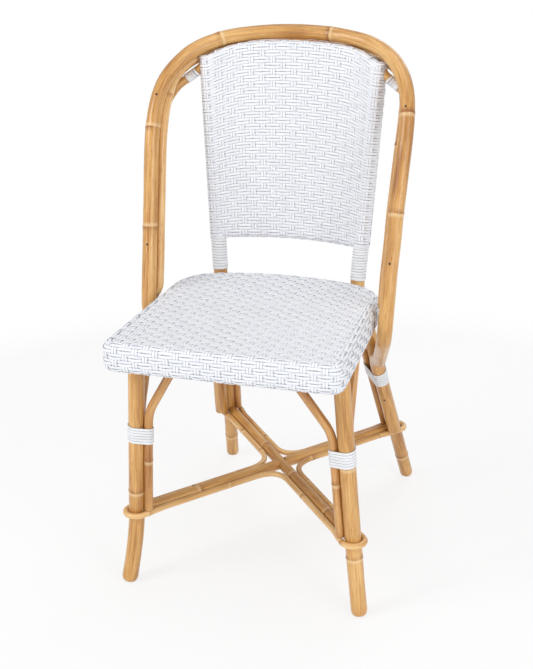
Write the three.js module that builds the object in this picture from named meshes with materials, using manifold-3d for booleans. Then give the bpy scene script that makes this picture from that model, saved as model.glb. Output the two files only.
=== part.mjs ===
import * as THREE from "three";
import { mergeVertices } from "three/addons/utils/BufferGeometryUtils.js";
import Module from "manifold-3d";

const wasm = await Module();
wasm.setup();

// Rattan bistro chair. Millimetres, +Z up, +Y to the rear, origin on the floor under the middle.
// Left and right are as seen by someone facing the front of the chair.

// Overall sizes
const TOTAL_HEIGHT = 860;
const TOTAL_WIDTH = 440;
const TOTAL_DEPTH = 572;
const SEAT_HEIGHT = 455;

// Pole and strip sizes
const LEG_RADIUS = 13;
const REAR_LEG_RADIUS = 11.8;
const HOOP_RADIUS = 12;
const INNER_HOOP_RADIUS = 7.7;
const RAIL_RADIUS = 7;
const FRAME_RADIUS = 10;
const CROSS_RADIUS = 8;
const BRACE_RADIUS = 7;
const REAR_BRACE_RADIUS = 5.8;
const ARM_RADIUS = 9.2;
const LOOP_RADIUS = 4.8;
const WEAVE_THICKNESS = 1.8;
const STRIP_THICKNESS = 1;
const STRIP_WIDTH = 4.1;
const STRIP_GAP = 0.6;
const NAIL_RADIUS = 1.9;
const NAIL_HEIGHT = 1.1;
const GAP = 0.3;

// Facets round the thick and the thin poles
const THICK_SIDES = 12;
const HOOP_SIDES = 12;
const THIN_SIDES = 10;
const LOOP_SIDES = 8;

const RATTAN = 0xd4a468;
const RATTAN_PALE = 0xdfb57c;
const RATTAN_DEEP = 0xc08f52;
const WEAVE_WHITE = 0xebedf1;
const NAIL_BROWN = 0x4b4038;

// Positions as shares of the overall sizes
const across = (share) => (share * TOTAL_WIDTH) / 2;
const along = (share) => (share * TOTAL_DEPTH) / 2;
const low = (share) => share * SEAT_HEIGHT;
const high = (share) => SEAT_HEIGHT + share * (TOTAL_HEIGHT - SEAT_HEIGHT);
const vec = (x, y, z) => new THREE.Vector3(x, y, z);

const ringHeight = low(0.2725);
const bindingLow = low(0.555);
const strapTurns = 6;
const bindingHigh = bindingLow + strapTurns * (STRIP_WIDTH + STRIP_GAP) + STRIP_WIDTH;

const group = new THREE.Group();
group.name = "rattan_bistro_chair";

// A pole's path: the section stands at each listed point
class PointPath extends THREE.Curve {
  constructor(points) {
    super();
    this.points = points;
  }
  getPoint(t, target = new THREE.Vector3()) {
    const last = this.points.length - 1;
    const place = Math.min(Math.max(t, 0), 1) * last;
    const index = Math.min(Math.floor(place), last - 1);
    return target.lerpVectors(this.points[index], this.points[index + 1], place - index);
  }
  getPointAt(u, target) {
    return this.getPoint(u, target);
  }
  getTangentAt(u, target = new THREE.Vector3()) {
    return target.copy(tangentAt(this.points, Math.round(u * (this.points.length - 1))));
  }
}

function tangentAt(points, index) {
  const before = points[Math.max(index - 1, 0)];
  const here = points[index];
  const after = points[Math.min(index + 1, points.length - 1)];
  const into = here.clone().sub(before).normalize();
  const out = after.clone().sub(here).normalize();
  return into.add(out).normalize();
}

function circleShape(radius, sides) {
  const shape = new THREE.Shape();
  for (let i = 0; i < sides; i += 1) {
    const turn = (2 * Math.PI * (i + 0.5)) / sides;
    const x = radius * Math.cos(turn);
    const y = radius * Math.sin(turn);
    if (i === 0) shape.moveTo(x, y);
    else shape.lineTo(x, y);
  }
  shape.closePath();
  return shape;
}

function poleGeometry(points, radius, sides) {
  const path = new PointPath(points);
  return new THREE.ExtrudeGeometry(circleShape(radius, sides), {
    steps: points.length - 1,
    extrudePath: path,
  });
}

// Six times the volume inside a set of triangles; negative when they face inwards
function signedVolume(positions, index) {
  const corner = (k) => vec(...positions.slice(3 * index[k], 3 * index[k] + 3));
  let sum = 0;
  for (let k = 0; k < index.length; k += 3) sum += corner(k).dot(corner(k + 1).cross(corner(k + 2)));
  return sum;
}

function toSolid(geometry) {
  const bare = geometry.clone();
  bare.deleteAttribute("normal");
  bare.deleteAttribute("uv");
  const merged = mergeVertices(bare, 1e-4);
  const positions = new Float32Array(merged.attributes.position.array);
  const index = new Uint32Array(merged.index.array);
  if (signedVolume(positions, index) < 0) index.reverse();
  return new wasm.Manifold(new wasm.Mesh({ numProp: 3, vertProperties: positions, triVerts: index }));
}

function toGeometry(solid) {
  const mesh = solid.getMesh();
  const geometry = new THREE.BufferGeometry();
  geometry.setAttribute("position", new THREE.BufferAttribute(new Float32Array(mesh.vertProperties), 3));
  geometry.setIndex(new THREE.BufferAttribute(new Uint32Array(mesh.triVerts), 1));
  geometry.computeVertexNormals();
  return geometry;
}

function pole(points, radius, sides = THIN_SIDES) {
  return toSolid(poleGeometry(points, radius, sides));
}

// The main body left after the cuts
function cutBy(solid, cutters) {
  const rest = cutters.reduce((left, cutter) => left.subtract(cutter), solid);
  const bodies = rest.decompose();
  return bodies.reduce((best, body) => (body.volume() > best.volume() ? body : best), bodies[0]);
}

function addPart(name, solid, colour, roughness = 0.42) {
  const material = new THREE.MeshStandardMaterial({ color: colour, roughness, metalness: 0 });
  const mesh = new THREE.Mesh(toGeometry(solid), material);
  mesh.name = name;
  group.add(mesh);
}

const mirrored = (point) => vec(-point.x, point.y, point.z);
const mirrorPath = (points) => points.map(mirrored);
const onSide = (points, side) => (side < 0 ? mirrorPath(points) : points);
const sideName = (side) => (side < 0 ? "left" : "right");
const sides = [-1, 1];

function bezier(start, control, end, count) {
  return new THREE.QuadraticBezierCurve3(start, control, end).getPoints(count);
}

// A straight run, a rounded corner and a straight run
function bentPath(start, corner, end, reach, count) {
  const from = corner.clone().add(start.clone().sub(corner).setLength(reach));
  const to = corner.clone().add(end.clone().sub(corner).setLength(reach));
  return [start, ...bezier(from, corner, to, count), end];
}

function smoothPath(points, count) {
  return new THREE.CatmullRomCurve3(points, false, "centripetal").getSpacedPoints(count);
}

function lineAt(start, end, z) {
  return start.clone().lerp(end, (z - start.z) / (end.z - start.z));
}

// Seat plan
const seatFront = along(-1);
const seatBackCorner = along(0.184);
const seatBulge = along(0.124);
const seatFrontHalf = across(0.85);
const seatBackHalf = across(0.79);
const seatFrontRound = across(0.13);
const seatBackRound = across(0.26);
const SEAT_CORNER_STEPS = 4;
const SEAT_SIDE_STEPS = 3;
const SEAT_BACK_STEPS = 3;

const lerp = (a, b, t) => a + (b - a) * t;
const seatHalfAt = (y) => lerp(seatFrontHalf, seatBackHalf, (y - seatFront) / (seatBackCorner - seatFront));
const seatBackAt = (x) => seatBackCorner + seatBulge * (1 - (x / seatBackHalf) ** 2);

// Right half of the plan from the middle of the front to the middle of the back
function seatHalfPlan() {
  const frontCorner = vec(seatFrontHalf, seatFront, 0);
  const backCorner = vec(seatBackHalf, seatBackCorner, 0);
  const sideLine = backCorner.clone().sub(frontCorner).normalize();
  const frontStart = vec(seatFrontHalf - seatFrontRound, seatFront, 0);
  const frontEnd = frontCorner.clone().addScaledVector(sideLine, seatFrontRound);
  const backStart = backCorner.clone().addScaledVector(sideLine, -seatBackRound);
  const backX = seatBackHalf - seatBackRound;
  const backEnd = vec(backX, seatBackAt(backX), 0);
  const plan = [vec(0, seatFront, 0), vec(frontStart.x / 2, seatFront, 0)];
  plan.push(...bezier(frontStart, frontCorner, frontEnd, SEAT_CORNER_STEPS));
  for (let i = 1; i < SEAT_SIDE_STEPS; i += 1) plan.push(frontEnd.clone().lerp(backStart, i / SEAT_SIDE_STEPS));
  plan.push(...bezier(backStart, backCorner, backEnd, SEAT_CORNER_STEPS));
  for (let i = 1; i <= SEAT_BACK_STEPS; i += 1) {
    const x = backX * (1 - i / SEAT_BACK_STEPS);
    plan.push(vec(x, seatBackAt(x), 0));
  }
  return plan;
}

// Whole plan, counter-clockwise from the middle of the front
const seatPlan = (() => {
  const half = seatHalfPlan();
  const back = half.slice(1, -1).reverse().map(mirrored);
  return [...half, ...back];
})();

function insetRing(inset, z) {
  const count = seatPlan.length;
  return seatPlan.map((point, i) => {
    const before = seatPlan[(i + count - 1) % count];
    const after = seatPlan[(i + 1) % count];
    const run = after.clone().sub(before).normalize();
    return vec(point.x - run.y * inset, point.y + run.x * inset, z);
  });
}

const seatCentre = vec(0, (seatFront + seatBackCorner) / 2, 0);
const towardsCentre = (ring, share, z) => ring.map((point) => {
  const place = point.clone().lerp(seatCentre, share);
  return vec(place.x, place.y, z);
});

// Heights of the two frame hoops inside the woven seat
const edgeTurns = [90, 45, 0];
const edgeHalfStep = THREE.MathUtils.degToRad(edgeTurns[1] / 2);
const edgeInside = (FRAME_RADIUS + 2 * GAP) / Math.cos(edgeHalfStep);
const edgeOutside = edgeInside + WEAVE_THICKNESS;
const frameInset = edgeOutside;
const upperFrameZ = SEAT_HEIGHT - edgeOutside;
const lowerFrameZ = upperFrameZ - 2 * FRAME_RADIUS - 2 * GAP;
const seatUnder = lowerFrameZ - edgeOutside;

// Front legs: straight from the seat to the ring, then curving outwards to the foot
const frontFoot = vec(across(0.886), along(-0.713), 0);
const frontKnee = vec(across(0.82), along(-0.664), ringHeight);
const frontHead = vec(across(0.734), along(-0.697), lowerFrameZ);
const frontAxis = frontHead.clone().sub(frontKnee).normalize();
const footDrop = LEG_RADIUS * 0.84;

function frontLegPath() {
  const control = lineAt(frontKnee, frontHead, ringHeight * 0.6);
  const curve = bezier(frontFoot, control, frontKnee, 6);
  const toe = curve[0].clone().lerp(curve[1], footDrop / curve[1].z);
  return [toe, ...curve.slice(1), frontHead];
}

// Rear legs: straight from the foot to the seat, bent there, and straight up the back
const rearSeatX = across(0.545);
const rearBend = vec(rearSeatX, seatBackAt(rearSeatX) + REAR_LEG_RADIUS * 1.04 + GAP, upperFrameZ);
const rearToe = vec(across(0.79), along(1) - REAR_LEG_RADIUS, REAR_LEG_RADIUS * 0.84);
const rearFoot = lineAt(rearToe, rearBend, 0);
const rearKnee = lineAt(rearFoot, rearBend, ringHeight);
const rearAxis = rearBend.clone().sub(rearFoot).normalize();

// Frame of axes round a leg: inner points to the middle of the chair, front to the front
function legAxes(axis) {
  const inner = vec(-1, 0, 0).addScaledVector(axis, axis.x).normalize();
  const front = vec(0, -1, 0).addScaledVector(axis, axis.y);
  front.addScaledVector(inner, -front.dot(inner)).normalize();
  return { axis, inner, front };
}
const frontAxes = legAxes(frontAxis);
const rearAxes = legAxes(rearAxis);

// Outer hoop: from the ring at the rear leg, up to the seat's side and over the back
const hoopAboveShares = [
  [0.909, -0.122, 0.15],
  [0.918, -0.077, 0.267],
  [0.924, -0.035, 0.385],
  [0.935, 0.014, 0.501],
  [0.944, 0.066, 0.614],
  [0.9455, 0.1, 0.667],
  [0.943, 0.137, 0.721],
  [0.933, 0.178, 0.77],
  [0.914, 0.227, 0.815],
  [0.882, 0.28, 0.854],
  [0.832, 0.336, 0.891],
  [0.773, 0.387, 0.922],
  [0.7, 0.438, 0.946],
  [0.627, 0.476, 0.962],
  [0.545, 0.512, 0.975],
  [0.418, 0.55, 0.986],
  [0.273, 0.579, 0.994],
  [0.136, 0.591, 0.998],
  [0, 0.595, 1],
];
const hoopRiseSpan = TOTAL_HEIGHT - HOOP_RADIUS - SEAT_HEIGHT;
const tailOffset = REAR_LEG_RADIUS + HOOP_RADIUS + GAP;
const tailFrontShare = 0.94;
const pairDistance = HOOP_RADIUS + INNER_HOOP_RADIUS + 2 * GAP;
const seatPairTurn = THREE.MathUtils.degToRad(57);
const hoopSeatY = along(-0.193);
const hoopSeatX =
  seatHalfAt(hoopSeatY) + 2 * GAP + INNER_HOOP_RADIUS + pairDistance * Math.cos(seatPairTurn);
const tailDirection = rearAxes.front
  .clone()
  .multiplyScalar(tailFrontShare)
  .addScaledVector(rearAxes.inner, -Math.sqrt(1 - tailFrontShare ** 2));
const tailAt = (z) => lineAt(rearFoot, rearBend, z).addScaledVector(tailDirection, tailOffset);
const tailFootZ = ringHeight + LOOP_RADIUS + 2 * GAP;

// The hoop's bend beside the seat and its straight run back to the rear leg
function hoopSidePath() {
  const joint = tailAt(bindingHigh + low(0.012));
  const above = hoopAboveShares.map(([x, y, z]) => vec(across(x), along(y), SEAT_HEIGHT + z * hoopRiseSpan));
  const elbow = vec(hoopSeatX, hoopSeatY - along(0.016), lowerFrameZ - FRAME_RADIUS);
  const reach = low(0.065);
  const from = elbow.clone().add(above[0].clone().sub(elbow).setLength(reach));
  const to = elbow.clone().add(joint.clone().sub(elbow).setLength(reach));
  const run = [0.35, 0.7].map((share) => to.clone().lerp(joint, share));
  return { route: [...bezier(from, elbow, to, 4), ...run], above, joint };
}

const hoopSide = hoopSidePath();
const hoopTail = [tailAt(tailFootZ), tailAt(lerp(tailFootZ, bindingLow, 0.5)), tailAt(bindingLow)];
hoopTail.push(tailAt(bindingHigh), hoopSide.joint);
const hoopRise = smoothPath([...hoopSide.above].reverse().concat(hoopSide.route), 30).reverse();

function smoothJoin(tail, rise) {
  const lead = tail[tail.length - 1];
  const before = tail[tail.length - 2];
  const slope = lead.clone().sub(before).normalize();
  const first = rise[0];
  const control = lead.clone().addScaledVector(slope, lead.distanceTo(first) * 0.45);
  return [...tail, ...bezier(lead, control, first, 3).slice(1, -1), ...rise];
}

const hoopRight = smoothJoin(hoopTail, hoopRise);
const hoopPath = [...hoopRight, ...mirrorPath(hoopRight.slice(0, -1)).reverse()];

// Bearing of a point of the back, from level with its middle to straight up, in degrees
const backRoundness = 0.92;
const bearing = (point) => {
  const rise = (point.z - high(0.5)) / (high(1) - high(0.5));
  const side = Math.abs(point.x) / across(1);
  return THREE.MathUtils.radToDeg(Math.atan2(rise * backRoundness, side));
};

// Turn of the thin hoop about the thick one by bearing: behind it beside the seat, below it over the top
const pairTurnShares = [
  [-58, 98],
  [-48, 92],
  [-44, 57],
  [25, 56],
  [38, 74],
  [47, 60],
  [56, 38],
  [70, 0],
  [90, -26],
];

function valueAt(table, place) {
  const index = table.findIndex(([key]) => key > place);
  if (index < 0) return table[table.length - 1][1];
  if (index === 0) return table[0][1];
  const [a, from] = table[index - 1];
  const [b, to] = table[index];
  const t = (place - a) / (b - a);
  return lerp(from, to, t * t * (3 - 2 * t));
}

// Inward and rearward directions square to a point of a path
function pathNormals(points, index, middle) {
  const run = tangentAt(points, index);
  const inward = middle.clone().sub(points[index]);
  inward.addScaledVector(run, -inward.dot(run)).normalize();
  const rearward = new THREE.Vector3().crossVectors(run, inward).normalize();
  if (rearward.y + rearward.z * 0.2 < 0) rearward.negate();
  return { inward, rearward };
}

function hoopNormals(index) {
  const point = hoopPath[index];
  const middle = vec(0, point.y, Math.min(point.z, high(0.62)));
  return pathNormals(hoopPath, index, middle);
}

const innerTopZ = low(0.66);
const innerIndexes = hoopPath.map((point, i) => i).filter((i) => hoopPath[i].z > innerTopZ);
const innerHoopPath = innerIndexes.map((i) => {
  const turn = THREE.MathUtils.degToRad(valueAt(pairTurnShares, bearing(hoopPath[i])));
  const { inward, rearward } = hoopNormals(i);
  return hoopPath[i]
    .clone()
    .addScaledVector(inward, pairDistance * Math.cos(turn))
    .addScaledVector(rearward, pairDistance * Math.sin(turn));
});

// Top rail of the back, from its tail behind the thin hoop to the middle: the place on the thick hoop by
// its share of the half width, then the offsets inward and rearward as shares of the hoops' distance
const topRailShares = [
  [0.9305, 0.348, 1.623],
  [0.892, 0.623, 1.693],
  [0.848, 0.918, 1.606],
  [0.797, 1.276, 0.96],
  [0.71, 1.252, 0.18],
  [0.519, 1.168, -0.274],
  [0.353, 1.092, -0.823],
  [0.179, 1.02, -1.083],
  [0, 0.964, -1.307],
];

// Index of the hoop's highest point, at the middle
const hoopTopIndex = hoopRight.length - 1;

function besideHoop([halfWidthShare, inwardShare, rearwardShare]) {
  const x = across(halfWidthShare);
  let index = hoopTopIndex;
  while (index > 1 && hoopPath[index - 1].x < x) index -= 1;
  const above = hoopPath[index];
  const below = hoopPath[index - 1];
  const share = (x - above.x) / (below.x - above.x);
  const from = hoopNormals(index);
  const to = hoopNormals(index - 1);
  const inward = from.inward.lerp(to.inward, share).normalize();
  const rearward = from.rearward.lerp(to.rearward, share).normalize();
  return above
    .clone()
    .lerp(below, share)
    .addScaledVector(inward, pairDistance * inwardShare)
    .addScaledVector(rearward, pairDistance * rearwardShare);
}

const topRailPoints = topRailShares.map(besideHoop);
const topRailHalf = topRailPoints.slice(0, -1);
const topRailMiddle = vec(0, topRailPoints[topRailHalf.length].y, topRailPoints[topRailHalf.length].z);
const topRailPath = smoothPath([...topRailHalf, topRailMiddle, ...mirrorPath(topRailHalf).reverse()], 28);
const roundEdge = Math.cos(Math.PI / 12);
const wovenReach = (REAR_LEG_RADIUS + GAP) / roundEdge + WEAVE_THICKNESS;
const wovenRailReach = (RAIL_RADIUS + GAP) / roundEdge + WEAVE_THICKNESS;

function pathAtX(points, x) {
  for (let i = 1; i < points.length; i += 1) {
    const a = points[i - 1];
    const b = points[i];
    if ((a.x - x) * (b.x - x) <= 0 && a.x !== b.x) return a.clone().lerp(b, (x - a.x) / (b.x - a.x));
  }
  return points[0].clone();
}

// Uprights end under the top rail
const uprightTop = pathAtX(topRailPath, across(0.655));
const uprightLine = uprightTop.clone().sub(rearBend).normalize();

const uprightBendReach = FRAME_RADIUS + WEAVE_THICKNESS;

function rearLegPath() {
  const end = uprightTop.clone().addScaledVector(uprightLine, -RAIL_RADIUS * 1.2);
  return bentPath(rearToe, rearBend, end, uprightBendReach, 4);
}

// Bottom rail of the back, bowed to the rear
const railFoot = lineAt(rearBend, uprightTop, high(0.153));
const backBow = along(0.094);

// Shares of the width where the back's rails have their points
const railShares = [-1, ...topRailPath.map((point) => point.x / uprightTop.x).sort((a, b) => a - b), 1]
  .filter((share) => Math.abs(share) < 0.96 || Math.abs(share) === 1);
const railBottomAt = (u) => vec(u * railFoot.x, railFoot.y + backBow * (1 - u * u), railFoot.z);
const bottomRailPoints = railShares.map(railBottomAt);

// Crossed arms of the stretcher and the four thin loops beside them
const crossShare = frontKnee.x / (frontKnee.x + rearKnee.x);
const crossPoint = vec(0, lerp(frontKnee.y, rearKnee.y, crossShare), ringHeight);
const corners = {
  front_left: mirrored(frontKnee),
  front_right: frontKnee.clone(),
  rear_right: rearKnee.clone(),
  rear_left: mirrored(rearKnee),
};
const lobeReach = across(0.21);

function armPath(from, to) {
  return [corners[from].clone(), to.clone()];
}

function sideLine(corner, lobe) {
  const out = corners[corner].clone().sub(crossPoint).normalize();
  const normal = vec(-out.y, out.x, 0);
  if (normal.dot(lobe) < 0) normal.negate();
  return { out, normal };
}

// Run of a loop beside one arm, from the bend at the middle to the leg
function loopRun(corner, lobe, legRadius) {
  const { out, normal } = sideLine(corner, lobe);
  const beside = ARM_RADIUS + LOOP_RADIUS + GAP;
  const wrap = legRadius + LOOP_RADIUS + GAP;
  const reach = corners[corner].distanceTo(crossPoint);
  const place = (distance, offset) =>
    crossPoint.clone().addScaledVector(out, distance).addScaledVector(normal, offset);
  return { place, beside, wrap, reach, out, normal };
}

function legRadiusAt(corner) {
  return corner.startsWith("front") ? LEG_RADIUS / frontAxis.z : REAR_LEG_RADIUS / rearAxis.z;
}

// Half circle round the outside of a leg, from the near lobe's side to the far side
function wrapArc(run, count) {
  const points = [];
  for (let i = 0; i <= count; i += 1) {
    const turn = (Math.PI * i) / count;
    const side = Math.cos(turn) * run.wrap;
    const ahead = Math.sin(turn) * run.wrap;
    points.push(run.place(run.reach + ahead, side));
  }
  return points;
}

function lobeBend(first, second) {
  const halfAngle = Math.acos(first.out.dot(second.out)) / 2;
  const cornerReach = first.beside / Math.tan(halfAngle);
  const control = first.place(cornerReach, first.beside);
  const start = first.place(cornerReach + lobeReach, first.beside);
  const end = second.place(cornerReach + lobeReach, second.beside);
  return bezier(start, control, end, 8);
}

const loopLead = across(0.2);

function lobeLoop(firstCorner, secondCorner, lobe) {
  const first = loopRun(firstCorner, lobe, legRadiusAt(firstCorner));
  const second = loopRun(secondCorner, lobe, legRadiusAt(secondCorner));
  const middle = lobeBend(first, second);
  return { first, second, middle };
}

const loopJoint = loopLead + LOOP_RADIUS;

function wrappingLoopPath(firstCorner, secondCorner, lobe) {
  const { first, second, middle } = lobeLoop(firstCorner, secondCorner, lobe);
  const tail = (run) => [
    run.place(run.reach - loopLead, -run.beside),
    run.place(run.reach - loopJoint, -run.beside),
  ];
  const firstWrap = wrapArc(first, 8).reverse();
  const secondWrap = wrapArc(second, 8);
  const firstLead = first.place(first.reach - loopLead, first.beside);
  const secondLead = second.place(second.reach - loopLead, second.beside);
  return [...tail(first).reverse(), ...firstWrap, firstLead, ...middle, secondLead, ...secondWrap, ...tail(second)];
}

function betweenLoopPath(firstCorner, secondCorner, lobe) {
  const { first, second, middle } = lobeLoop(firstCorner, secondCorner, lobe);
  const start = first.place(first.reach - loopJoint - GAP, first.beside);
  const end = second.place(second.reach - loopJoint - GAP, second.beside);
  return [start, ...middle, end];
}

// Braces: beside the leg from the ring to the binding, then slanting to the seat
const braceFootZ = ringHeight + LOOP_RADIUS + 2 * GAP;

function bracePath(base, top, direction, offset, target) {
  const at = (z) => lineAt(base, top, z).addScaledVector(direction, offset);
  const start = at(braceFootZ);
  const corner = at(bindingHigh + low(0.05));
  return bentPath(start, corner, target, low(0.045), 3);
}

const frontBraceOffset = LEG_RADIUS + BRACE_RADIUS + GAP;
const rearBraceOffset = REAR_LEG_RADIUS + REAR_BRACE_RADIUS + GAP;
const crossRailZ = lowerFrameZ - FRAME_RADIUS + CROSS_RADIUS;
const crossRailY = frontHead.y - LEG_RADIUS - CROSS_RADIUS - 2 * GAP;
const frontBraceTop = vec(across(0.37), crossRailY, crossRailZ);
const sideFrameX = seatHalfAt(along(-0.42)) - frameInset;
const sideBraceTop = vec(sideFrameX, along(-0.42), lowerFrameZ - GAP);
const rearBraceX = across(0.33);
const rearBraceY = seatBackAt(rearBraceX) - frameInset - FRAME_RADIUS * 0.4;
const rearBraceTop = vec(rearBraceX, rearBraceY, lowerFrameZ - GAP);

const frontBracePath = bracePath(frontKnee, frontHead, frontAxes.inner, frontBraceOffset, frontBraceTop);
const rearward = frontAxes.front.clone().negate();
const sideBracePath = bracePath(frontKnee, frontHead, rearward, frontBraceOffset, sideBraceTop);
const rearBracePath = bracePath(rearFoot, rearBend, rearAxes.inner, rearBraceOffset, rearBraceTop);

function footedLeg(points, radius, extra = 0) {
  const tube = pole(points, radius + extra, THICK_SIDES);
  const ball = new THREE.SphereGeometry(radius + extra, THICK_SIDES, 8);
  ball.rotateX(Math.PI / 2);
  ball.translate(points[0].x, points[0].y, points[0].z);
  return tube.add(toSolid(ball)).trimByPlane([0, 0, 1], 0);
}

const frameRing = (z) => insetRing(frameInset, z);

// Frame hoop of the seat: one bent pole whose ends meet at the middle of the back
function frameHoop(z, extra = 0) {
  const ring = frameRing(z);
  const start = seatPlan.length / 2;
  const order = seatPlan.map((point, i) => ring[(start + i) % seatPlan.length]);
  const first = vec(-GAP / 2, order[0].y, z);
  const last = vec(GAP / 2, order[0].y, z);
  return pole([first, ...order.slice(1), last], FRAME_RADIUS + extra, LOOP_SIDES);
}

function ringSurface(rings, topCentre, underCentre) {
  const points = [topCentre, ...rings.flat(), underCentre];
  const count = rings[0].length;
  const triangles = [];
  const at = (ring, i) => 1 + ring * count + (i % count);
  for (let i = 0; i < count; i += 1) triangles.push(0, at(0, i), at(0, i + 1));
  for (let ring = 0; ring < rings.length - 1; ring += 1) {
    for (let i = 0; i < count; i += 1) {
      triangles.push(at(ring, i), at(ring + 1, i), at(ring + 1, i + 1));
      triangles.push(at(ring, i), at(ring + 1, i + 1), at(ring, i + 1));
    }
  }
  const last = points.length - 1;
  const end = rings.length - 1;
  for (let i = 0; i < count; i += 1) triangles.push(last, at(end, i + 1), at(end, i));
  return meshGeometry(points, triangles);
}

function meshGeometry(points, triangles) {
  const geometry = new THREE.BufferGeometry();
  const flat = points.flatMap((point) => [point.x, point.y, point.z]);
  geometry.setAttribute("position", new THREE.Float32BufferAttribute(flat, 3));
  geometry.setIndex(triangles);
  return geometry;
}

// Rounded edge of the woven seat round a frame hoop
function edgeRings(radius, centreZ, turns, way = 1) {
  return turns.map((degrees) => {
    const turn = THREE.MathUtils.degToRad(degrees);
    return insetRing(frameInset - radius * Math.cos(turn), centreZ + way * radius * Math.sin(turn));
  });
}

// Woven skin of the seat: top, skirts and a lip under the lower frame hoop
function seatSkin() {
  const upTurns = [...edgeTurns].reverse();
  const topEdge = insetRing(frameInset, SEAT_HEIGHT);
  const topInner = insetRing(frameInset, SEAT_HEIGHT - WEAVE_THICKNESS);
  const dish = WEAVE_THICKNESS;
  const topRings = [towardsCentre(topEdge, 0.5, SEAT_HEIGHT - dish), towardsCentre(topEdge, 0.2, SEAT_HEIGHT)];
  const underRings = [
    towardsCentre(topInner, 0.2, SEAT_HEIGHT - WEAVE_THICKNESS),
    towardsCentre(topInner, 0.5, SEAT_HEIGHT - dish - WEAVE_THICKNESS),
  ];
  const rings = [
    ...topRings,
    ...edgeRings(edgeOutside, upperFrameZ, edgeTurns),
    ...edgeRings(edgeOutside, lowerFrameZ, upTurns, -1),
    ...edgeRings(edgeInside, lowerFrameZ, edgeTurns, -1),
    ...edgeRings(edgeInside, upperFrameZ, upTurns),
    ...underRings,
  ];
  const top = vec(seatCentre.x, seatCentre.y, SEAT_HEIGHT - dish);
  const under = vec(seatCentre.x, seatCentre.y, SEAT_HEIGHT - dish - WEAVE_THICKNESS);
  return toSolid(ringSurface(rings, top, under));
}

// Middle surface of the back between its rails and uprights
const railTopAt = (u) => pathAtX(topRailPath, u * uprightTop.x);
const backPoint = (u, v) => {
  const inside = Math.min(Math.max(u, -1), 1);
  const place = railBottomAt(inside).lerp(railTopAt(inside), v);
  place.x *= Math.abs(u) > 1 ? Math.abs(u) : 1;
  return place;
};

// Closed pillow round the middle surface, rounded at its four edges
function backPillow(uprightReach, railReach) {
  const halfWidth = (railFoot.x + uprightTop.x) / 2;
  const tall = uprightTop.z - railFoot.z;
  const edge = [1, 0.87, 0.5, 0];
  const across01 = railShares.slice(1, -1).map((u) => ({ place: u, out: 0 }));
  const upper01 = [0.35, 0.65].map((v) => ({ place: v, out: 0 }));
  const left = edge.map((out) => ({ place: -1 - (out * uprightReach) / halfWidth, out }));
  const right = [...edge].reverse().map((out) => ({ place: 1 + (out * uprightReach) / halfWidth, out }));
  const bottom = edge.map((out) => ({ place: (-out * railReach) / tall, out }));
  const top = [...edge].reverse().map((out) => ({ place: 1 + (out * railReach) / tall, out }));
  const us = [...left, ...across01, ...right];
  const vs = [...bottom, ...upper01, ...top];
  const grid = (face) =>
    vs.map((v) =>
      us.map((u) => {
        const bulge = Math.min(Math.abs(u.place), 1) ** 6;
        const half = lerp(railReach, uprightReach, bulge);
        const depth = half * Math.sqrt((1 - u.out ** 2) * (1 - v.out ** 2));
        const place = backPoint(u.place, v.place);
        place.y += face * depth;
        return place;
      }),
    );
  return toSolid(sheetPair(grid(-1), grid(1)));
}

// Two sheets that share their border
function sheetPair(front, rear) {
  const rows = front.length;
  const columns = front[0].length;
  const points = [...front.flat(), ...rear.flat()];
  const triangles = [];
  const at = (sheet, row, column) => sheet * rows * columns + row * columns + column;
  for (let row = 0; row < rows - 1; row += 1) {
    for (let column = 0; column < columns - 1; column += 1) {
      const f = [at(0, row, column), at(0, row, column + 1), at(0, row + 1, column + 1), at(0, row + 1, column)];
      const r = [at(1, row, column), at(1, row, column + 1), at(1, row + 1, column + 1), at(1, row + 1, column)];
      triangles.push(f[0], f[1], f[2], f[0], f[2], f[3]);
      triangles.push(r[0], r[2], r[1], r[0], r[3], r[2]);
    }
  }
  return meshGeometry(points, triangles);
}

// Closed outline round a set of circles, listed counter-clockwise
function hullOutline(circles, cord) {
  const count = circles.length;
  if (count === 1) {
    const { x, y, radius, steps } = circles[0];
    const reach = (radius + cord) / Math.cos(Math.PI / steps);
    return Array.from({ length: steps }, (unused, i) => {
      const turn = (2 * Math.PI * i) / steps;
      return [x + reach * Math.cos(turn), y + reach * Math.sin(turn)];
    });
  }
  const switches = circles.map((circle, i) => {
    const next = circles[(i + 1) % count];
    const run = Math.atan2(next.y - circle.y, next.x - circle.x);
    const span = Math.hypot(next.x - circle.x, next.y - circle.y);
    return run - Math.acos((circle.radius - next.radius) / span);
  });
  return circles.flatMap((circle, i) => {
    const start = switches[(i + count - 1) % count];
    let end = switches[i];
    while (end < start) end += 2 * Math.PI;
    const stride = (end - start) / circle.steps;
    const reach = (circle.radius + cord) / Math.cos(stride / 2);
    return Array.from({ length: circle.steps + 1 }, (unused, k) => {
      const turn = start + stride * k;
      return [circle.x + reach * Math.cos(turn), circle.y + reach * Math.sin(turn)];
    });
  });
}

// Strip wound round an outline as one unbroken helix of flat section
function winding(name, circles, placeAt, turns) {
  const inner = hullOutline(circles, GAP);
  const outer = hullOutline(circles, GAP + STRIP_THICKNESS);
  const steps = inner.length;
  const pitch = STRIP_WIDTH + STRIP_GAP;
  const sections = [];
  for (let i = 0; i <= turns * steps; i += 1) {
    const a = inner[i % steps];
    const b = outer[i % steps];
    const base = (pitch * i) / steps;
    const corners4 = [[a, base], [b, base], [b, base + STRIP_WIDTH], [a, base + STRIP_WIDTH]];
    sections.push(corners4.map(([[x, y], h]) => placeAt(x, y, h)));
  }
  reportSelfGap(name, sections, steps);
  return toSolid(sweepSections(sections));
}

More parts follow.
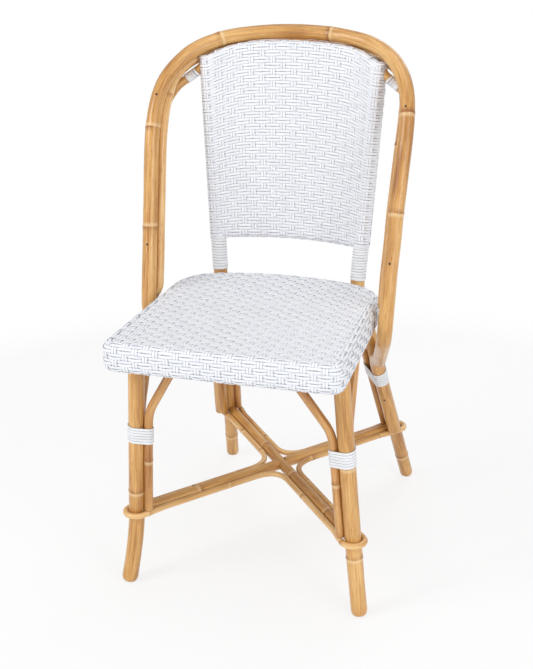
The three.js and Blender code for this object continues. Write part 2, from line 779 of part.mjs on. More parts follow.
function sweepSections(sections) {
  const points = sections.flat();
  const count = sections[0].length;
  const triangles = [];
  for (let s = 0; s < sections.length - 1; s += 1) {
    for (let i = 0; i < count; i += 1) {
      const a = s * count + i;
      const b = s * count + ((i + 1) % count);
      triangles.push(a, b, b + count, a, b + count, a + count);
    }
  }
  const last = (sections.length - 1) * count;
  triangles.push(0, 2, 1, 0, 3, 2);
  triangles.push(last, last + 1, last + 2, last, last + 2, last + 3);
  return meshGeometry(points, triangles);
}

// Least distance between the facing edges of neighbouring turns, measured on points of the strip
function reportSelfGap(name, sections, steps) {
  let least = Infinity;
  for (let s = 0; s + steps < sections.length; s += 1) {
    const lowTurn = sections[s].slice(2);
    const near = sections.slice(Math.max(s + steps - 1, 0), s + steps + 2);
    const nextTurn = near.flatMap((section) => section.slice(0, 2));
    lowTurn.forEach((a) => nextTurn.forEach((b) => { least = Math.min(least, a.distanceTo(b)); }));
  }
  console.log(name + " least gap between turns " + least.toFixed(2) + " mm");
}

// Places a point of a winding in the axes of a pole; side mirrors it to the left
function poleFrame(origin, axes, side) {
  return (x, y, h) => {
    const place = origin
      .clone()
      .addScaledVector(axes.inner, x)
      .addScaledVector(axes.front, y)
      .addScaledVector(axes.axis, h);
    return side < 0 ? mirrored(place) : place;
  };
}

// White peel binding round a front leg and its two braces
function frontBinding(side) {
  const circles = [
    { x: 0, y: 0, radius: LEG_RADIUS, steps: 5 },
    { x: 0, y: -frontBraceOffset, radius: BRACE_RADIUS, steps: 2 },
    { x: frontBraceOffset, y: 0, radius: BRACE_RADIUS, steps: 2 },
  ];
  const origin = lineAt(frontKnee, frontHead, bindingLow);
  const ordered = [circles[1], circles[2], circles[0]];
  return winding("front_leg_binding_" + sideName(side), ordered, poleFrame(origin, frontAxes, side), strapTurns);
}

// White peel binding round a rear leg, its brace and the tail of the outer hoop
function rearBinding(side) {
  const tailX = -Math.sqrt(1 - tailFrontShare ** 2) * tailOffset;
  const tailY = tailFrontShare * tailOffset;
  const circles = [
    { x: 0, y: 0, radius: REAR_LEG_RADIUS, steps: 4 },
    { x: rearBraceOffset, y: 0, radius: REAR_BRACE_RADIUS, steps: 3 },
    { x: tailX, y: tailY, radius: HOOP_RADIUS, steps: 4 },
  ];
  const origin = lineAt(rearFoot, rearBend, bindingLow);
  return winding("rear_leg_binding_" + sideName(side), circles, poleFrame(origin, rearAxes, side), strapTurns);
}

// Strip wound round the foot of an upright, between the seat and the woven back
const uprightAxes = legAxes(uprightLine);
const wrapPitch = STRIP_WIDTH + STRIP_GAP;

function uprightWrap(side) {
  const origin = rearBend.clone().addScaledVector(uprightLine, uprightBendReach + 2 * GAP);
  const span = (railFoot.z - wovenRailReach - GAP - origin.z) / uprightLine.z - REAR_LEG_RADIUS * 0.1;
  const turns = Math.floor((span - STRIP_WIDTH) / wrapPitch);
  origin.addScaledVector(uprightLine, span - STRIP_WIDTH - turns * wrapPitch);
  const circles = [{ x: 0, y: 0, radius: REAR_LEG_RADIUS, steps: 8 }];
  return winding("upright_wrap_" + sideName(side), circles, poleFrame(origin, uprightAxes, side), turns);
}

// Strip wound round the top rail beside the corner of the woven back
const railWrapTurns = 4;

function railWrap(side) {
  const start = uprightTop.x + wovenReach + RAIL_RADIUS * 0.85;
  const begin = pathAtX(topRailPath, start);
  const lengthTo = railLengths();
  const from = lengthTo(begin);
  const place = (x, y, h) => {
    const { point, inward, rearward } = railPlace(from - h);
    const spot = point.clone().addScaledVector(inward, x).addScaledVector(rearward, y);
    return side < 0 ? mirrored(spot) : spot;
  };
  const circles = [{ x: 0, y: 0, radius: RAIL_RADIUS, steps: 8 }];
  return winding("top_rail_wrap_" + sideName(side), circles, place, railWrapTurns);
}

// Distance along the top rail from its right end to a point on it
function railLengths() {
  return (target) => {
    let sum = 0;
    for (let i = 1; i < topRailPath.length; i += 1) {
      const a = topRailPath[i - 1];
      const b = topRailPath[i];
      const span = a.distanceTo(b);
      if (a.distanceTo(target) + b.distanceTo(target) < span + GAP / 10) return sum + a.distanceTo(target);
      sum += span;
    }
    return sum;
  };
}

function railPlace(length) {
  let rest = length;
  let i = 1;
  while (i < topRailPath.length - 1 && rest > topRailPath[i - 1].distanceTo(topRailPath[i])) {
    rest -= topRailPath[i - 1].distanceTo(topRailPath[i]);
    i += 1;
  }
  const a = topRailPath[i - 1];
  const b = topRailPath[i];
  const share = rest / a.distanceTo(b);
  const point = a.clone().lerp(b, share);
  const run = tangentAt(topRailPath, i - 1).lerp(tangentAt(topRailPath, i), share).normalize();
  const inward = vec(0, point.y, high(0.5)).sub(point);
  inward.addScaledVector(run, -inward.dot(run)).normalize();
  const rearward = new THREE.Vector3().crossVectors(run, inward).normalize();
  return { point, inward, rearward };
}

function nailSolid(place, outward) {
  const head = new THREE.CylinderGeometry(NAIL_RADIUS * 0.7, NAIL_RADIUS, NAIL_HEIGHT, 6);
  const turn = new THREE.Quaternion().setFromUnitVectors(vec(0, 1, 0), outward.clone().normalize());
  head.applyQuaternion(turn);
  head.translate(place.x, place.y, place.z);
  return toSolid(head);
}

// Small round-headed nails on the outer hoop
const nailHeightShares = [0.2, 0.74, -0.5];

function nailAt(share, side) {
  const z = share < 0 ? low(-share) : high(share);
  const index = hoopRight.findIndex((point) => point.z > z);
  const spot = hoopRight[index - 1].clone().lerp(hoopRight[index], 0.5);
  const run = hoopRight[index].clone().sub(hoopRight[index - 1]).normalize();
  const outward = vec(0, -1, 0).addScaledVector(run, run.y).normalize();
  spot.addScaledVector(outward, HOOP_RADIUS + GAP + NAIL_HEIGHT / 2);
  const place = side < 0 ? mirrored(spot) : spot;
  return nailSolid(place, side < 0 ? mirrored(outward) : outward);
}

const frontLegs = {};
const rearLegs = {};
const frontLegCuts = {};
const rearLegCuts = {};
const upperFrame = frameHoop(upperFrameZ);
const lowerFrame = frameHoop(lowerFrameZ);
const lowerFrameCut = frameHoop(lowerFrameZ, GAP);

function addLegs() {
  sides.forEach((side) => {
    const name = sideName(side);
    const front = onSide(frontLegPath(), side);
    const rear = onSide(rearLegPath(), side);
    frontLegs[name] = cutBy(footedLeg(front, LEG_RADIUS), [lowerFrameCut]);
    frontLegCuts[name] = pole(front, LEG_RADIUS + GAP, THICK_SIDES);
    const railCut = pole(topRailPath, RAIL_RADIUS + GAP, THIN_SIDES);
    rearLegs[name] = cutBy(footedLeg(rear, REAR_LEG_RADIUS), [railCut]);
    rearLegCuts[name] = pole(rear, REAR_LEG_RADIUS + GAP, THICK_SIDES);
    addPart("front_leg_" + name, frontLegs[name], RATTAN);
    addPart("rear_leg_" + name, rearLegs[name], RATTAN);
  });
}

function addHoops() {
  const floor = ringHeight + LOOP_RADIUS + GAP;
  const outer = pole(hoopPath, HOOP_RADIUS, HOOP_SIDES).trimByPlane([0, 0, 1], floor);
  const legCuts = Object.values(rearLegCuts);
  const inner = cutBy(pole(innerHoopPath, INNER_HOOP_RADIUS, THIN_SIDES), legCuts);
  const rail = pole(topRailPath, RAIL_RADIUS, THIN_SIDES);
  const foot = pole(bottomRailPoints, RAIL_RADIUS, LOOP_SIDES);
  addPart("outer_hoop", cutBy(outer, [...armCuts(), ...legCuts]), RATTAN);
  addPart("inner_hoop", inner, RATTAN_PALE);
  addPart("back_top_rail", rail, RATTAN);
  addPart("back_bottom_rail", cutBy(foot, legCuts), RATTAN);
}

function armCuts() {
  return [armSolid("rear_left", corners.front_right, GAP), armSolid("front_left", corners.rear_right, GAP)];
}

function armSolid(from, to, extra = 0) {
  return pole(armPath(from, to), ARM_RADIUS + extra, HOOP_SIDES);
}

function addStretcher() {
  const legCuts = [...Object.values(frontLegCuts), ...Object.values(rearLegCuts)];
  const longCut = armSolid("rear_left", corners.front_right, GAP);
  addPart("stretcher_arm_long", cutBy(armSolid("rear_left", corners.front_right), legCuts), RATTAN);
  ["front_left", "rear_right"].forEach((corner) => {
    const half = armSolid(corner, crossPoint);
    addPart("stretcher_arm_" + corner, cutBy(half, [longCut, ...legCuts]), RATTAN);
  });
  const loops = {
    front: wrappingLoopPath("front_left", "front_right", vec(0, -1, 0)),
    rear: wrappingLoopPath("rear_left", "rear_right", vec(0, 1, 0)),
    left: betweenLoopPath("front_left", "rear_left", vec(-1, 0, 0)),
    right: betweenLoopPath("front_right", "rear_right", vec(1, 0, 0)),
  };
  Object.entries(loops).forEach(([name, path]) => {
    addPart("stretcher_loop_" + name, cutBy(pole(path, LOOP_RADIUS, LOOP_SIDES), legCuts), RATTAN_PALE);
  });
}

function addBraces() {
  const floor = ringHeight + LOOP_RADIUS + GAP;
  const crossCut = pole(crossRailPath(crossRailY), CROSS_RADIUS + GAP);
  const kinds = [
    ["front_leg_inner_brace_", frontBracePath, BRACE_RADIUS, crossCut],
    ["front_leg_side_brace_", sideBracePath, BRACE_RADIUS, lowerFrameCut],
    ["rear_leg_inner_brace_", rearBracePath, REAR_BRACE_RADIUS, lowerFrameCut],
  ];
  const armCutters = armCuts();
  kinds.forEach(([name, path, radius, seatCut]) => {
    sides.forEach((side) => {
      const brace = pole(onSide(path, side), radius, LOOP_SIDES).trimByPlane([0, 0, 1], floor);
      addPart(name + sideName(side), cutBy(brace, [seatCut, ...armCutters]), RATTAN_DEEP);
    });
  });
}

function crossRailPath(y) {
  const reach = seatHalfAt(y) - frameInset - FRAME_RADIUS * 0.4;
  return [vec(-reach, y, crossRailZ), vec(reach, y, crossRailZ)];
}

function addSeat() {
  addPart("seat_frame_upper", upperFrame, RATTAN_DEEP);
  addPart("seat_frame_lower", lowerFrame, RATTAN_DEEP);
  const front = pole(crossRailPath(crossRailY), CROSS_RADIUS);
  const rear = pole(crossRailPath(along(-0.05)), CROSS_RADIUS);
  addPart("seat_cross_rail_front", cutBy(front, [lowerFrameCut]), RATTAN_DEEP);
  addPart("seat_cross_rail_rear", cutBy(rear, [lowerFrameCut]), RATTAN_DEEP);
  const braces = [[frontBracePath, BRACE_RADIUS], [sideBracePath, BRACE_RADIUS], [rearBracePath, REAR_BRACE_RADIUS]];
  const braceCuts = braces.flatMap(([path, radius]) =>
    sides.map((side) => pole(onSide(path, side), radius + GAP, LOOP_SIDES)),
  );
  const cuts = [...Object.values(frontLegCuts), ...Object.values(rearLegCuts), ...braceCuts];
  addPart("seat_weave", cutBy(seatSkin(), cuts), WEAVE_WHITE, 0.5);
}

function addBack() {
  const cavity = backPillow(wovenReach - WEAVE_THICKNESS, wovenRailReach - WEAVE_THICKNESS);
  const rails = [pole(topRailPath, RAIL_RADIUS + GAP), pole(bottomRailPoints, RAIL_RADIUS + GAP, LOOP_SIDES)];
  const hoops = [pole(hoopPath, HOOP_RADIUS + GAP, HOOP_SIDES), pole(innerHoopPath, INNER_HOOP_RADIUS + GAP)];
  const cuts = [...Object.values(rearLegCuts), ...rails, ...hoops];
  addPart("back_weave", cutBy(backPillow(wovenReach, wovenRailReach), [cavity, ...cuts]), WEAVE_WHITE, 0.5);
}

function addWindings() {
  sides.forEach((side) => {
    const name = sideName(side);
    addPart("front_leg_binding_" + name, frontBinding(side), WEAVE_WHITE, 0.5);
    addPart("rear_leg_binding_" + name, rearBinding(side), WEAVE_WHITE, 0.5);
    addPart("upright_wrap_" + name, uprightWrap(side), WEAVE_WHITE, 0.5);
    addPart("top_rail_wrap_" + name, railWrap(side), WEAVE_WHITE, 0.5);
  });
}

function addNails() {
  nailHeightShares.forEach((share, index) => {
    sides.forEach((side) => {
      addPart("hoop_nail_" + (index + 1) + "_" + sideName(side), nailAt(share, side), NAIL_BROWN, 0.6);
    });
  });
}

addLegs();
addHoops();
addStretcher();
addBraces();
addSeat();
addBack();
addWindings();
addNails();

export default group;
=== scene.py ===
import math

import bpy
import numpy as np
from mathutils import Matrix, Vector


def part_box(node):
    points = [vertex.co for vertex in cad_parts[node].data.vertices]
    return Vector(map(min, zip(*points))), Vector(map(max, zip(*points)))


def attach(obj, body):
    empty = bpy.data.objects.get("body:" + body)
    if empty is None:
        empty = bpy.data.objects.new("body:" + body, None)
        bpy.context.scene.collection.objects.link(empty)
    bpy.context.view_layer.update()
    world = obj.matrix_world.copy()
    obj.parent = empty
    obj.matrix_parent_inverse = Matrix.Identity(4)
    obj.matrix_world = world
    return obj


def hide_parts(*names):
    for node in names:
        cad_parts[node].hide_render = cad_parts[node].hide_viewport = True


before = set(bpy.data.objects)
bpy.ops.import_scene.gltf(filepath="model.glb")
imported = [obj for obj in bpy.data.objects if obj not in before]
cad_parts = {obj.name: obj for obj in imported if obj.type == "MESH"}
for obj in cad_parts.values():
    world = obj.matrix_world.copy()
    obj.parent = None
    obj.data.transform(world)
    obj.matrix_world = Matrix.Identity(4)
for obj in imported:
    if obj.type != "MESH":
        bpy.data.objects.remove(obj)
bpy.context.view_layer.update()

# Rattan bistro chair, metres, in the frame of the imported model

# Overall sizes
TOTAL_HEIGHT = 0.86
TOTAL_WIDTH = 0.44
TOTAL_DEPTH = 0.572
SEAT_HEIGHT = 0.455

# Poles and strips
LEG_RADIUS = 0.013
REAR_LEG_RADIUS = 0.0118
HOOP_RADIUS = 0.012
INNER_HOOP_RADIUS = 0.0077
RAIL_RADIUS = 0.007
FRAME_RADIUS = 0.01
CROSS_RADIUS = 0.008
BRACE_RADIUS = 0.007
REAR_BRACE_RADIUS = 0.0058
ARM_RADIUS = 0.0092
LOOP_RADIUS = 0.0048
WEAVE_THICKNESS = 0.0018
STRIP_THICKNESS = 0.001
STRIP_WIDTH = 0.0041
STRIP_GAP = 0.0006
NAIL_RADIUS = 0.0019
NAIL_HEIGHT = 0.0011
GAP = 0.0003

# Weave: pairs of rows over and under pairs of columns
ROW_WIDTH = 0.0045
COLUMN_PITCH = 0.016
COLUMN_WIDTH = 0.004
COLUMN_SPLIT = 0.0044
STRAND_THICKNESS = 0.0009
STRAND_RISE = 0.0008


def across(share):
    return share * TOTAL_WIDTH / 2


def along(share):
    return share * TOTAL_DEPTH / 2


def low(share):
    return share * SEAT_HEIGHT


def high(share):
    return SEAT_HEIGHT + share * (TOTAL_HEIGHT - SEAT_HEIGHT)


def vec(x, y, z):
    return np.array([x, y, z], float)


def unit(v):
    return v / np.linalg.norm(v)


def units(v):
    return v / np.linalg.norm(v, axis=-1, keepdims=True)


def mix(a, b, t):
    return a + (b - a) * t


def eased(t):
    return t * t * (3 - 2 * t)


def mirrored(points):
    return np.asarray(points) * [-1, 1, 1]


def both_halves(half):
    return np.vstack([half, mirrored(half[-2::-1])])


def on_side(points, side):
    return mirrored(points) if side < 0 else np.asarray(points)


def side_name(side):
    return "left" if side < 0 else "right"


SIDES = (-1, 1)


# Lines in space

def bezier(start, control, end, count):
    t = np.linspace(0, 1, count + 1)[:, None]
    return start * (1 - t) ** 2 + control * 2 * t * (1 - t) + end * t**2


def bent_path(start, corner, end, reach, count=12):
    a = corner + unit(start - corner) * reach
    b = corner + unit(end - corner) * reach
    return np.vstack([[start], bezier(a, corner, b, count), [end]])


def line_at(start, end, z):
    return mix(start, end, (z - start[2]) / (end[2] - start[2]))


def lengths(points):
    return np.concatenate([[0], np.cumsum(np.linalg.norm(np.diff(points, axis=0), axis=1))])


# Rows of a table at places between its keys
def at_table(table, keys, places):
    return np.stack([np.interp(places, keys, column) for column in table.T], axis=-1)


def at_lengths(points, places):
    return at_table(points, lengths(points), places)


def respaced(points, count):
    return at_lengths(points, np.linspace(0, lengths(points)[-1], count + 1))


# Smooth line through points, with steps on each span
def smooth_line(points, steps=14):
    points = np.asarray(points, float)
    padded = np.vstack([2 * points[0] - points[1], points, 2 * points[-1] - points[-2]])
    out = []
    t = np.linspace(0, 1, steps, endpoint=False)[:, None]
    for a, b, c, d in zip(padded, padded[1:], padded[2:], padded[3:]):
        ab, bc, cd = (max(np.linalg.norm(q - p) ** 0.5, 1e-6) for p, q in ((a, b), (b, c), (c, d)))
        start = ((b - a) / ab - (c - a) / (ab + bc) + (c - b) / bc) * bc
        end = ((c - b) / bc - (d - b) / (bc + cd) + (d - c) / cd) * bc
        cubic = 2 * b - 2 * c + start + end
        square = 3 * c - 3 * b - 2 * start - end
        out.append(b + start * t + square * t**2 + cubic * t**3)
    return np.vstack(out + [points[-1:]])


# Frame of the chair

RING_HEIGHT = low(0.2725)
BINDING_LOW = low(0.555)
BINDING_TURNS = 6
WRAP_PITCH = STRIP_WIDTH + STRIP_GAP
BINDING_HIGH = BINDING_LOW + BINDING_TURNS * WRAP_PITCH + STRIP_WIDTH

SEAT_FRONT = along(-1)
SEAT_BACK_CORNER = along(0.184)
SEAT_BULGE = along(0.124)
SEAT_FRONT_HALF = across(0.85)
SEAT_BACK_HALF = across(0.79)
SEAT_FRONT_ROUND = across(0.13)
SEAT_BACK_ROUND = across(0.26)

EDGE_INSIDE = (FRAME_RADIUS + 2 * GAP) / math.cos(math.radians(22.5))
EDGE_OUTSIDE = EDGE_INSIDE + WEAVE_THICKNESS
UPPER_FRAME_Z = SEAT_HEIGHT - EDGE_OUTSIDE
LOWER_FRAME_Z = UPPER_FRAME_Z - 2 * FRAME_RADIUS - 2 * GAP


def seat_half_at(y):
    return mix(SEAT_FRONT_HALF, SEAT_BACK_HALF, (y - SEAT_FRONT) / (SEAT_BACK_CORNER - SEAT_FRONT))


def seat_back_at(x):
    return SEAT_BACK_CORNER + SEAT_BULGE * (1 - (x / SEAT_BACK_HALF) ** 2)


FRONT_FOOT = vec(across(0.886), along(-0.713), 0)
FRONT_KNEE = vec(across(0.82), along(-0.664), RING_HEIGHT)
FRONT_HEAD = vec(across(0.734), along(-0.697), LOWER_FRAME_Z)
FRONT_AXIS = unit(FRONT_HEAD - FRONT_KNEE)
FOOT_SHARE = 0.84

REAR_SEAT_X = across(0.545)
REAR_LEG_REACH = REAR_LEG_RADIUS * 1.04
REAR_BEND = vec(REAR_SEAT_X, seat_back_at(REAR_SEAT_X) + REAR_LEG_REACH + GAP, UPPER_FRAME_Z)
REAR_TOE = vec(across(0.79), along(1) - REAR_LEG_RADIUS, REAR_LEG_RADIUS * FOOT_SHARE)
REAR_FOOT = line_at(REAR_TOE, REAR_BEND, 0)
REAR_KNEE = line_at(REAR_FOOT, REAR_BEND, RING_HEIGHT)
REAR_AXIS = unit(REAR_BEND - REAR_FOOT)


# Axes round a leg: inner points to the middle of the chair, front to its front
def leg_axes(axis):
    inner = unit(vec(-1, 0, 0) + axis * axis[0])
    front = vec(0, -1, 0) + axis * axis[1]
    front = unit(front - inner * front.dot(inner))
    return inner, front, axis


FRONT_AXES = leg_axes(FRONT_AXIS)
REAR_AXES = leg_axes(REAR_AXIS)

# The hoop's centre line above the seat, from its side to the middle of the top
HOOP_SHARES = [
    [0.909, -0.122, 0.15], [0.918, -0.077, 0.267], [0.924, -0.035, 0.385], [0.935, 0.014, 0.501],
    [0.944, 0.066, 0.614], [0.9455, 0.1, 0.667], [0.943, 0.137, 0.721], [0.933, 0.178, 0.77],
    [0.914, 0.227, 0.815], [0.882, 0.28, 0.854], [0.832, 0.336, 0.891], [0.773, 0.387, 0.922],
    [0.7, 0.438, 0.946], [0.627, 0.476, 0.962], [0.545, 0.512, 0.975], [0.418, 0.55, 0.986],
    [0.273, 0.579, 0.994], [0.136, 0.591, 0.998], [0, 0.595, 1],
]
HOOP_RISE_SPAN = TOTAL_HEIGHT - HOOP_RADIUS - SEAT_HEIGHT
TAIL_OFFSET = REAR_LEG_RADIUS + HOOP_RADIUS + GAP
TAIL_FRONT_SHARE = 0.94
PAIR_DISTANCE = HOOP_RADIUS + INNER_HOOP_RADIUS + 2 * GAP
SEAT_PAIR_TURN = math.radians(57)
HOOP_SEAT_Y = along(-0.193)
SEAT_PAIR_REACH = PAIR_DISTANCE * math.cos(SEAT_PAIR_TURN)
HOOP_SEAT_X = seat_half_at(HOOP_SEAT_Y) + 2 * GAP + INNER_HOOP_RADIUS + SEAT_PAIR_REACH
TAIL_DIRECTION = REAR_AXES[1] * TAIL_FRONT_SHARE - REAR_AXES[0] * math.sqrt(1 - TAIL_FRONT_SHARE**2)
FLOOR_OF_TAILS = RING_HEIGHT + LOOP_RADIUS + 2 * GAP

ELBOW = vec(HOOP_SEAT_X, HOOP_SEAT_Y - along(0.016), LOWER_FRAME_Z - FRAME_RADIUS)
ELBOW_REACH = low(0.065)
TAIL_JOINT_Z = BINDING_HIGH + low(0.012)
TAIL_EASE = 0.45
RUN_SHARES = (0.35, 0.7)
HOOP_STEPS = 700


def tail_at(z):
    return line_at(REAR_FOOT, REAR_BEND, z) + TAIL_DIRECTION * TAIL_OFFSET


def hoop_half():
    joint = tail_at(TAIL_JOINT_Z)
    above = [vec(across(x), along(y), SEAT_HEIGHT + z * HOOP_RISE_SPAN) for x, y, z in HOOP_SHARES]
    start = ELBOW + unit(above[0] - ELBOW) * ELBOW_REACH
    end = ELBOW + unit(joint - ELBOW) * ELBOW_REACH
    run = [mix(end, joint, share) for share in RUN_SHARES]
    route = np.vstack([above[::-1], bezier(start, ELBOW, end, 4), run])
    rise = smooth_line(route)[::-1]
    tail = [tail_at(z) for z in (FLOOR_OF_TAILS, BINDING_LOW, BINDING_HIGH)] + [joint]
    slope = unit(joint - tail[-2])
    control = joint + slope * np.linalg.norm(rise[0] - joint) * TAIL_EASE
    return np.vstack([tail, bezier(joint, control, rise[0], 8)[1:-1], rise])


HOOP_LINE = respaced(both_halves(hoop_half()), HOOP_STEPS)

# Turn of the thin hoop about the thick one by bearing, in degrees
PAIR_TURNS = [
    [-58, 98], [-48, 92], [-44, 57], [25, 56], [38, 74], [47, 60], [56, 38], [70, 0], [90, -26],
]
BACK_ROUNDNESS = 0.92


def pair_turn(point):
    rise = (point[2] - high(0.5)) / (high(1) - high(0.5))
    place = math.degrees(math.atan2(rise * BACK_ROUNDNESS, abs(point[0]) / across(1)))
    for (a, turn_a), (b, turn_b) in zip(PAIR_TURNS, PAIR_TURNS[1:]):
        if place <= b:
            t = min(max((place - a) / (b - a), 0), 1)
            return math.radians(mix(turn_a, turn_b, eased(t)))
    return math.radians(PAIR_TURNS[-1][1])


def tangents(points):
    steps = units(np.diff(points, axis=0))
    inner = units(steps[:-1] + steps[1:])
    return np.vstack([steps[:1], inner, steps[-1:]])


def square_to(directions, runs):
    return units(directions - runs * np.sum(directions * runs, axis=-1, keepdims=True))


BACK_MIDDLE_Z = high(0.62)
REARWARD_TILT = 0.2


# Inward and rearward directions at each point of the hoop, square to its run
def hoop_normals(points):
    runs = tangents(points)
    level = np.minimum(points[:, 2], BACK_MIDDLE_Z)
    middles = np.stack([0 * level, points[:, 1], level], axis=1)
    inward = square_to(middles - points, runs)
    rearward = units(np.cross(runs, inward))
    flip = np.where(rearward[:, 1] + rearward[:, 2] * REARWARD_TILT < 0, -1, 1)[:, None]
    return inward, rearward * flip


HOOP_INWARD, HOOP_REARWARD = hoop_normals(HOOP_LINE)
INNER_HOOP_FOOT = low(0.66)


def inner_hoop_line():
    turns = np.array([pair_turn(point) for point in HOOP_LINE])[:, None]
    inward = HOOP_INWARD * PAIR_DISTANCE * np.cos(turns)
    line = HOOP_LINE + inward + HOOP_REARWARD * PAIR_DISTANCE * np.sin(turns)
    return line[HOOP_LINE[:, 2] > INNER_HOOP_FOOT]


# Top rail: place on the hoop by its share of the half width, then the shares of the pair's
# distance inward and rearward
TOP_RAIL_SHARES = [
    [0.9305, 0.348, 1.623], [0.892, 0.623, 1.693], [0.848, 0.918, 1.606], [0.797, 1.276, 0.96],
    [0.71, 1.252, 0.18], [0.519, 1.168, -0.274], [0.353, 1.092, -0.823], [0.179, 1.02, -1.083],
    [0, 0.964, -1.307],
]
TOP_RAIL_STEPS = 260


def top_rail_line():
    half = []
    for half_width, inward, rearward in TOP_RAIL_SHARES:
        index = len(HOOP_LINE) // 2
        while index > 1 and HOOP_LINE[index - 1][0] < across(half_width):
            index -= 1
        offset = HOOP_INWARD[index] * inward + HOOP_REARWARD[index] * rearward
        half.append(HOOP_LINE[index] + PAIR_DISTANCE * offset)
    half[-1][0] = 0
    return respaced(smooth_line(both_halves(half)), TOP_RAIL_STEPS)


TOP_RAIL_LINE = top_rail_line()


def rail_at_x(x):
    line = TOP_RAIL_LINE[::-1]
    return at_table(line, line[:, 0], x)


UPRIGHT_TOP = rail_at_x(across(0.655))
UPRIGHT_AXIS = unit(UPRIGHT_TOP - REAR_BEND)
UPRIGHT_BEND = FRAME_RADIUS + WEAVE_THICKNESS
RAIL_FOOT = line_at(REAR_BEND, UPRIGHT_TOP, high(0.153))
BACK_BOW = along(0.094)
ROUND_EDGE = math.cos(math.pi / 12)
WOVEN_REACH = (REAR_LEG_RADIUS + GAP) / ROUND_EDGE + WEAVE_THICKNESS
WOVEN_RAIL_REACH = (RAIL_RADIUS + GAP) / ROUND_EDGE + WEAVE_THICKNESS


def bottom_rail_at(u):
    u = np.asarray(u)
    y = RAIL_FOOT[1] + BACK_BOW * (1 - u * u)
    return np.stack([u * RAIL_FOOT[0], y, RAIL_FOOT[2] + 0 * u], axis=-1)


# Stretcher near the floor

CORNERS = {
    "front_left": mirrored(FRONT_KNEE),
    "front_right": FRONT_KNEE,
    "rear_right": REAR_KNEE,
    "rear_left": mirrored(REAR_KNEE),
}
CROSS_SHARE = FRONT_KNEE[0] / (FRONT_KNEE[0] + REAR_KNEE[0])
CROSS_POINT = vec(0, mix(FRONT_KNEE[1], REAR_KNEE[1], CROSS_SHARE), RING_HEIGHT)
LOBE_REACH = across(0.21)
LOOP_LEAD = across(0.2)
LOOP_JOINT = LOOP_LEAD + LOOP_RADIUS
BESIDE_ARM = ARM_RADIUS + LOOP_RADIUS + GAP


def leg_radius_at(corner):
    front = corner.startswith("front")
    return LEG_RADIUS / FRONT_AXIS[2] if front else REAR_LEG_RADIUS / REAR_AXIS[2]


# Beside one arm of the stretcher: its direction, the way to the loop's bend, and its length
def arm_side(corner, lobe):
    run = CORNERS[corner] - CROSS_POINT
    out = unit(run)
    normal = vec(-out[1], out[0], 0)
    normal = normal if normal.dot(lobe) > 0 else -normal
    return out, normal, np.linalg.norm(run)


def beside(run, distance, offset):
    return CROSS_POINT + run[0] * distance + run[1] * offset


def lobe_bend(first, second):
    half_angle = math.acos(first[0].dot(second[0])) / 2
    corner = BESIDE_ARM / math.tan(half_angle)
    control = beside(first, corner, BESIDE_ARM)
    start = beside(first, corner + LOBE_REACH, BESIDE_ARM)
    end = beside(second, corner + LOBE_REACH, BESIDE_ARM)
    return bezier(start, control, end, 30)


def leg_wrap(run, corner, count=24):
    wrap = leg_radius_at(corner) + LOOP_RADIUS + GAP
    turns = np.linspace(0, math.pi, count + 1)
    return [beside(run, run[2] + math.sin(turn) * wrap, math.cos(turn) * wrap) for turn in turns]


# Front and rear loops: round both legs, with their tails beside the arms
def wrapping_loop(first_corner, second_corner, lobe):
    runs = [arm_side(corner, lobe) for corner in (first_corner, second_corner)]
    ends = []
    for run, corner in zip(runs, (first_corner, second_corner)):
        lead = beside(run, run[2] - LOOP_LEAD, BESIDE_ARM)
        tail = [beside(run, run[2] - place, -BESIDE_ARM) for place in (LOOP_LEAD, LOOP_JOINT)]
        path = smooth_line([lead, *leg_wrap(run, corner)[::4], tail[0]], 10)
        ends.append(np.vstack([[lead], path[1:], tail[1:]]))
    return np.vstack([ends[0][::-1], lobe_bend(*runs), ends[1]])


def between_loop(first_corner, second_corner, lobe):
    runs = [arm_side(corner, lobe) for corner in (first_corner, second_corner)]
    ends = [beside(run, run[2] - LOOP_JOINT - GAP, BESIDE_ARM) for run in runs]
    return np.vstack([ends[:1], lobe_bend(*runs), ends[1:]])


# Braces beside the legs

FRONT_BRACE_OFFSET = LEG_RADIUS + BRACE_RADIUS + GAP
REAR_BRACE_OFFSET = REAR_LEG_RADIUS + REAR_BRACE_RADIUS + GAP
CROSS_RAIL_Z = LOWER_FRAME_Z - FRAME_RADIUS + CROSS_RADIUS
CROSS_RAIL_Y = FRONT_HEAD[1] - LEG_RADIUS - CROSS_RADIUS - 2 * GAP
REAR_CROSS_RAIL_Y = along(-0.05)
FRAME_BITE = FRAME_RADIUS * 0.4
SIDE_BRACE_Y = along(-0.42)
REAR_BRACE_X = across(0.33)
REAR_BRACE_Y = seat_back_at(REAR_BRACE_X) - EDGE_OUTSIDE - FRAME_BITE
FRONT_BRACE_TOP = vec(across(0.37), CROSS_RAIL_Y, CROSS_RAIL_Z)
SIDE_BRACE_TOP = vec(seat_half_at(SIDE_BRACE_Y) - EDGE_OUTSIDE, SIDE_BRACE_Y, LOWER_FRAME_Z)
REAR_BRACE_TOP = vec(REAR_BRACE_X, REAR_BRACE_Y, LOWER_FRAME_Z)
BRACE_BEND_Z = BINDING_HIGH + low(0.05)
BRACE_BEND_REACH = low(0.045)


def brace_line(base, top, direction, offset, target):
    start = line_at(base, top, FLOOR_OF_TAILS) + direction * offset
    corner = line_at(base, top, BRACE_BEND_Z) + direction * offset
    return bent_path(start, corner, target, BRACE_BEND_REACH)


# Meshes

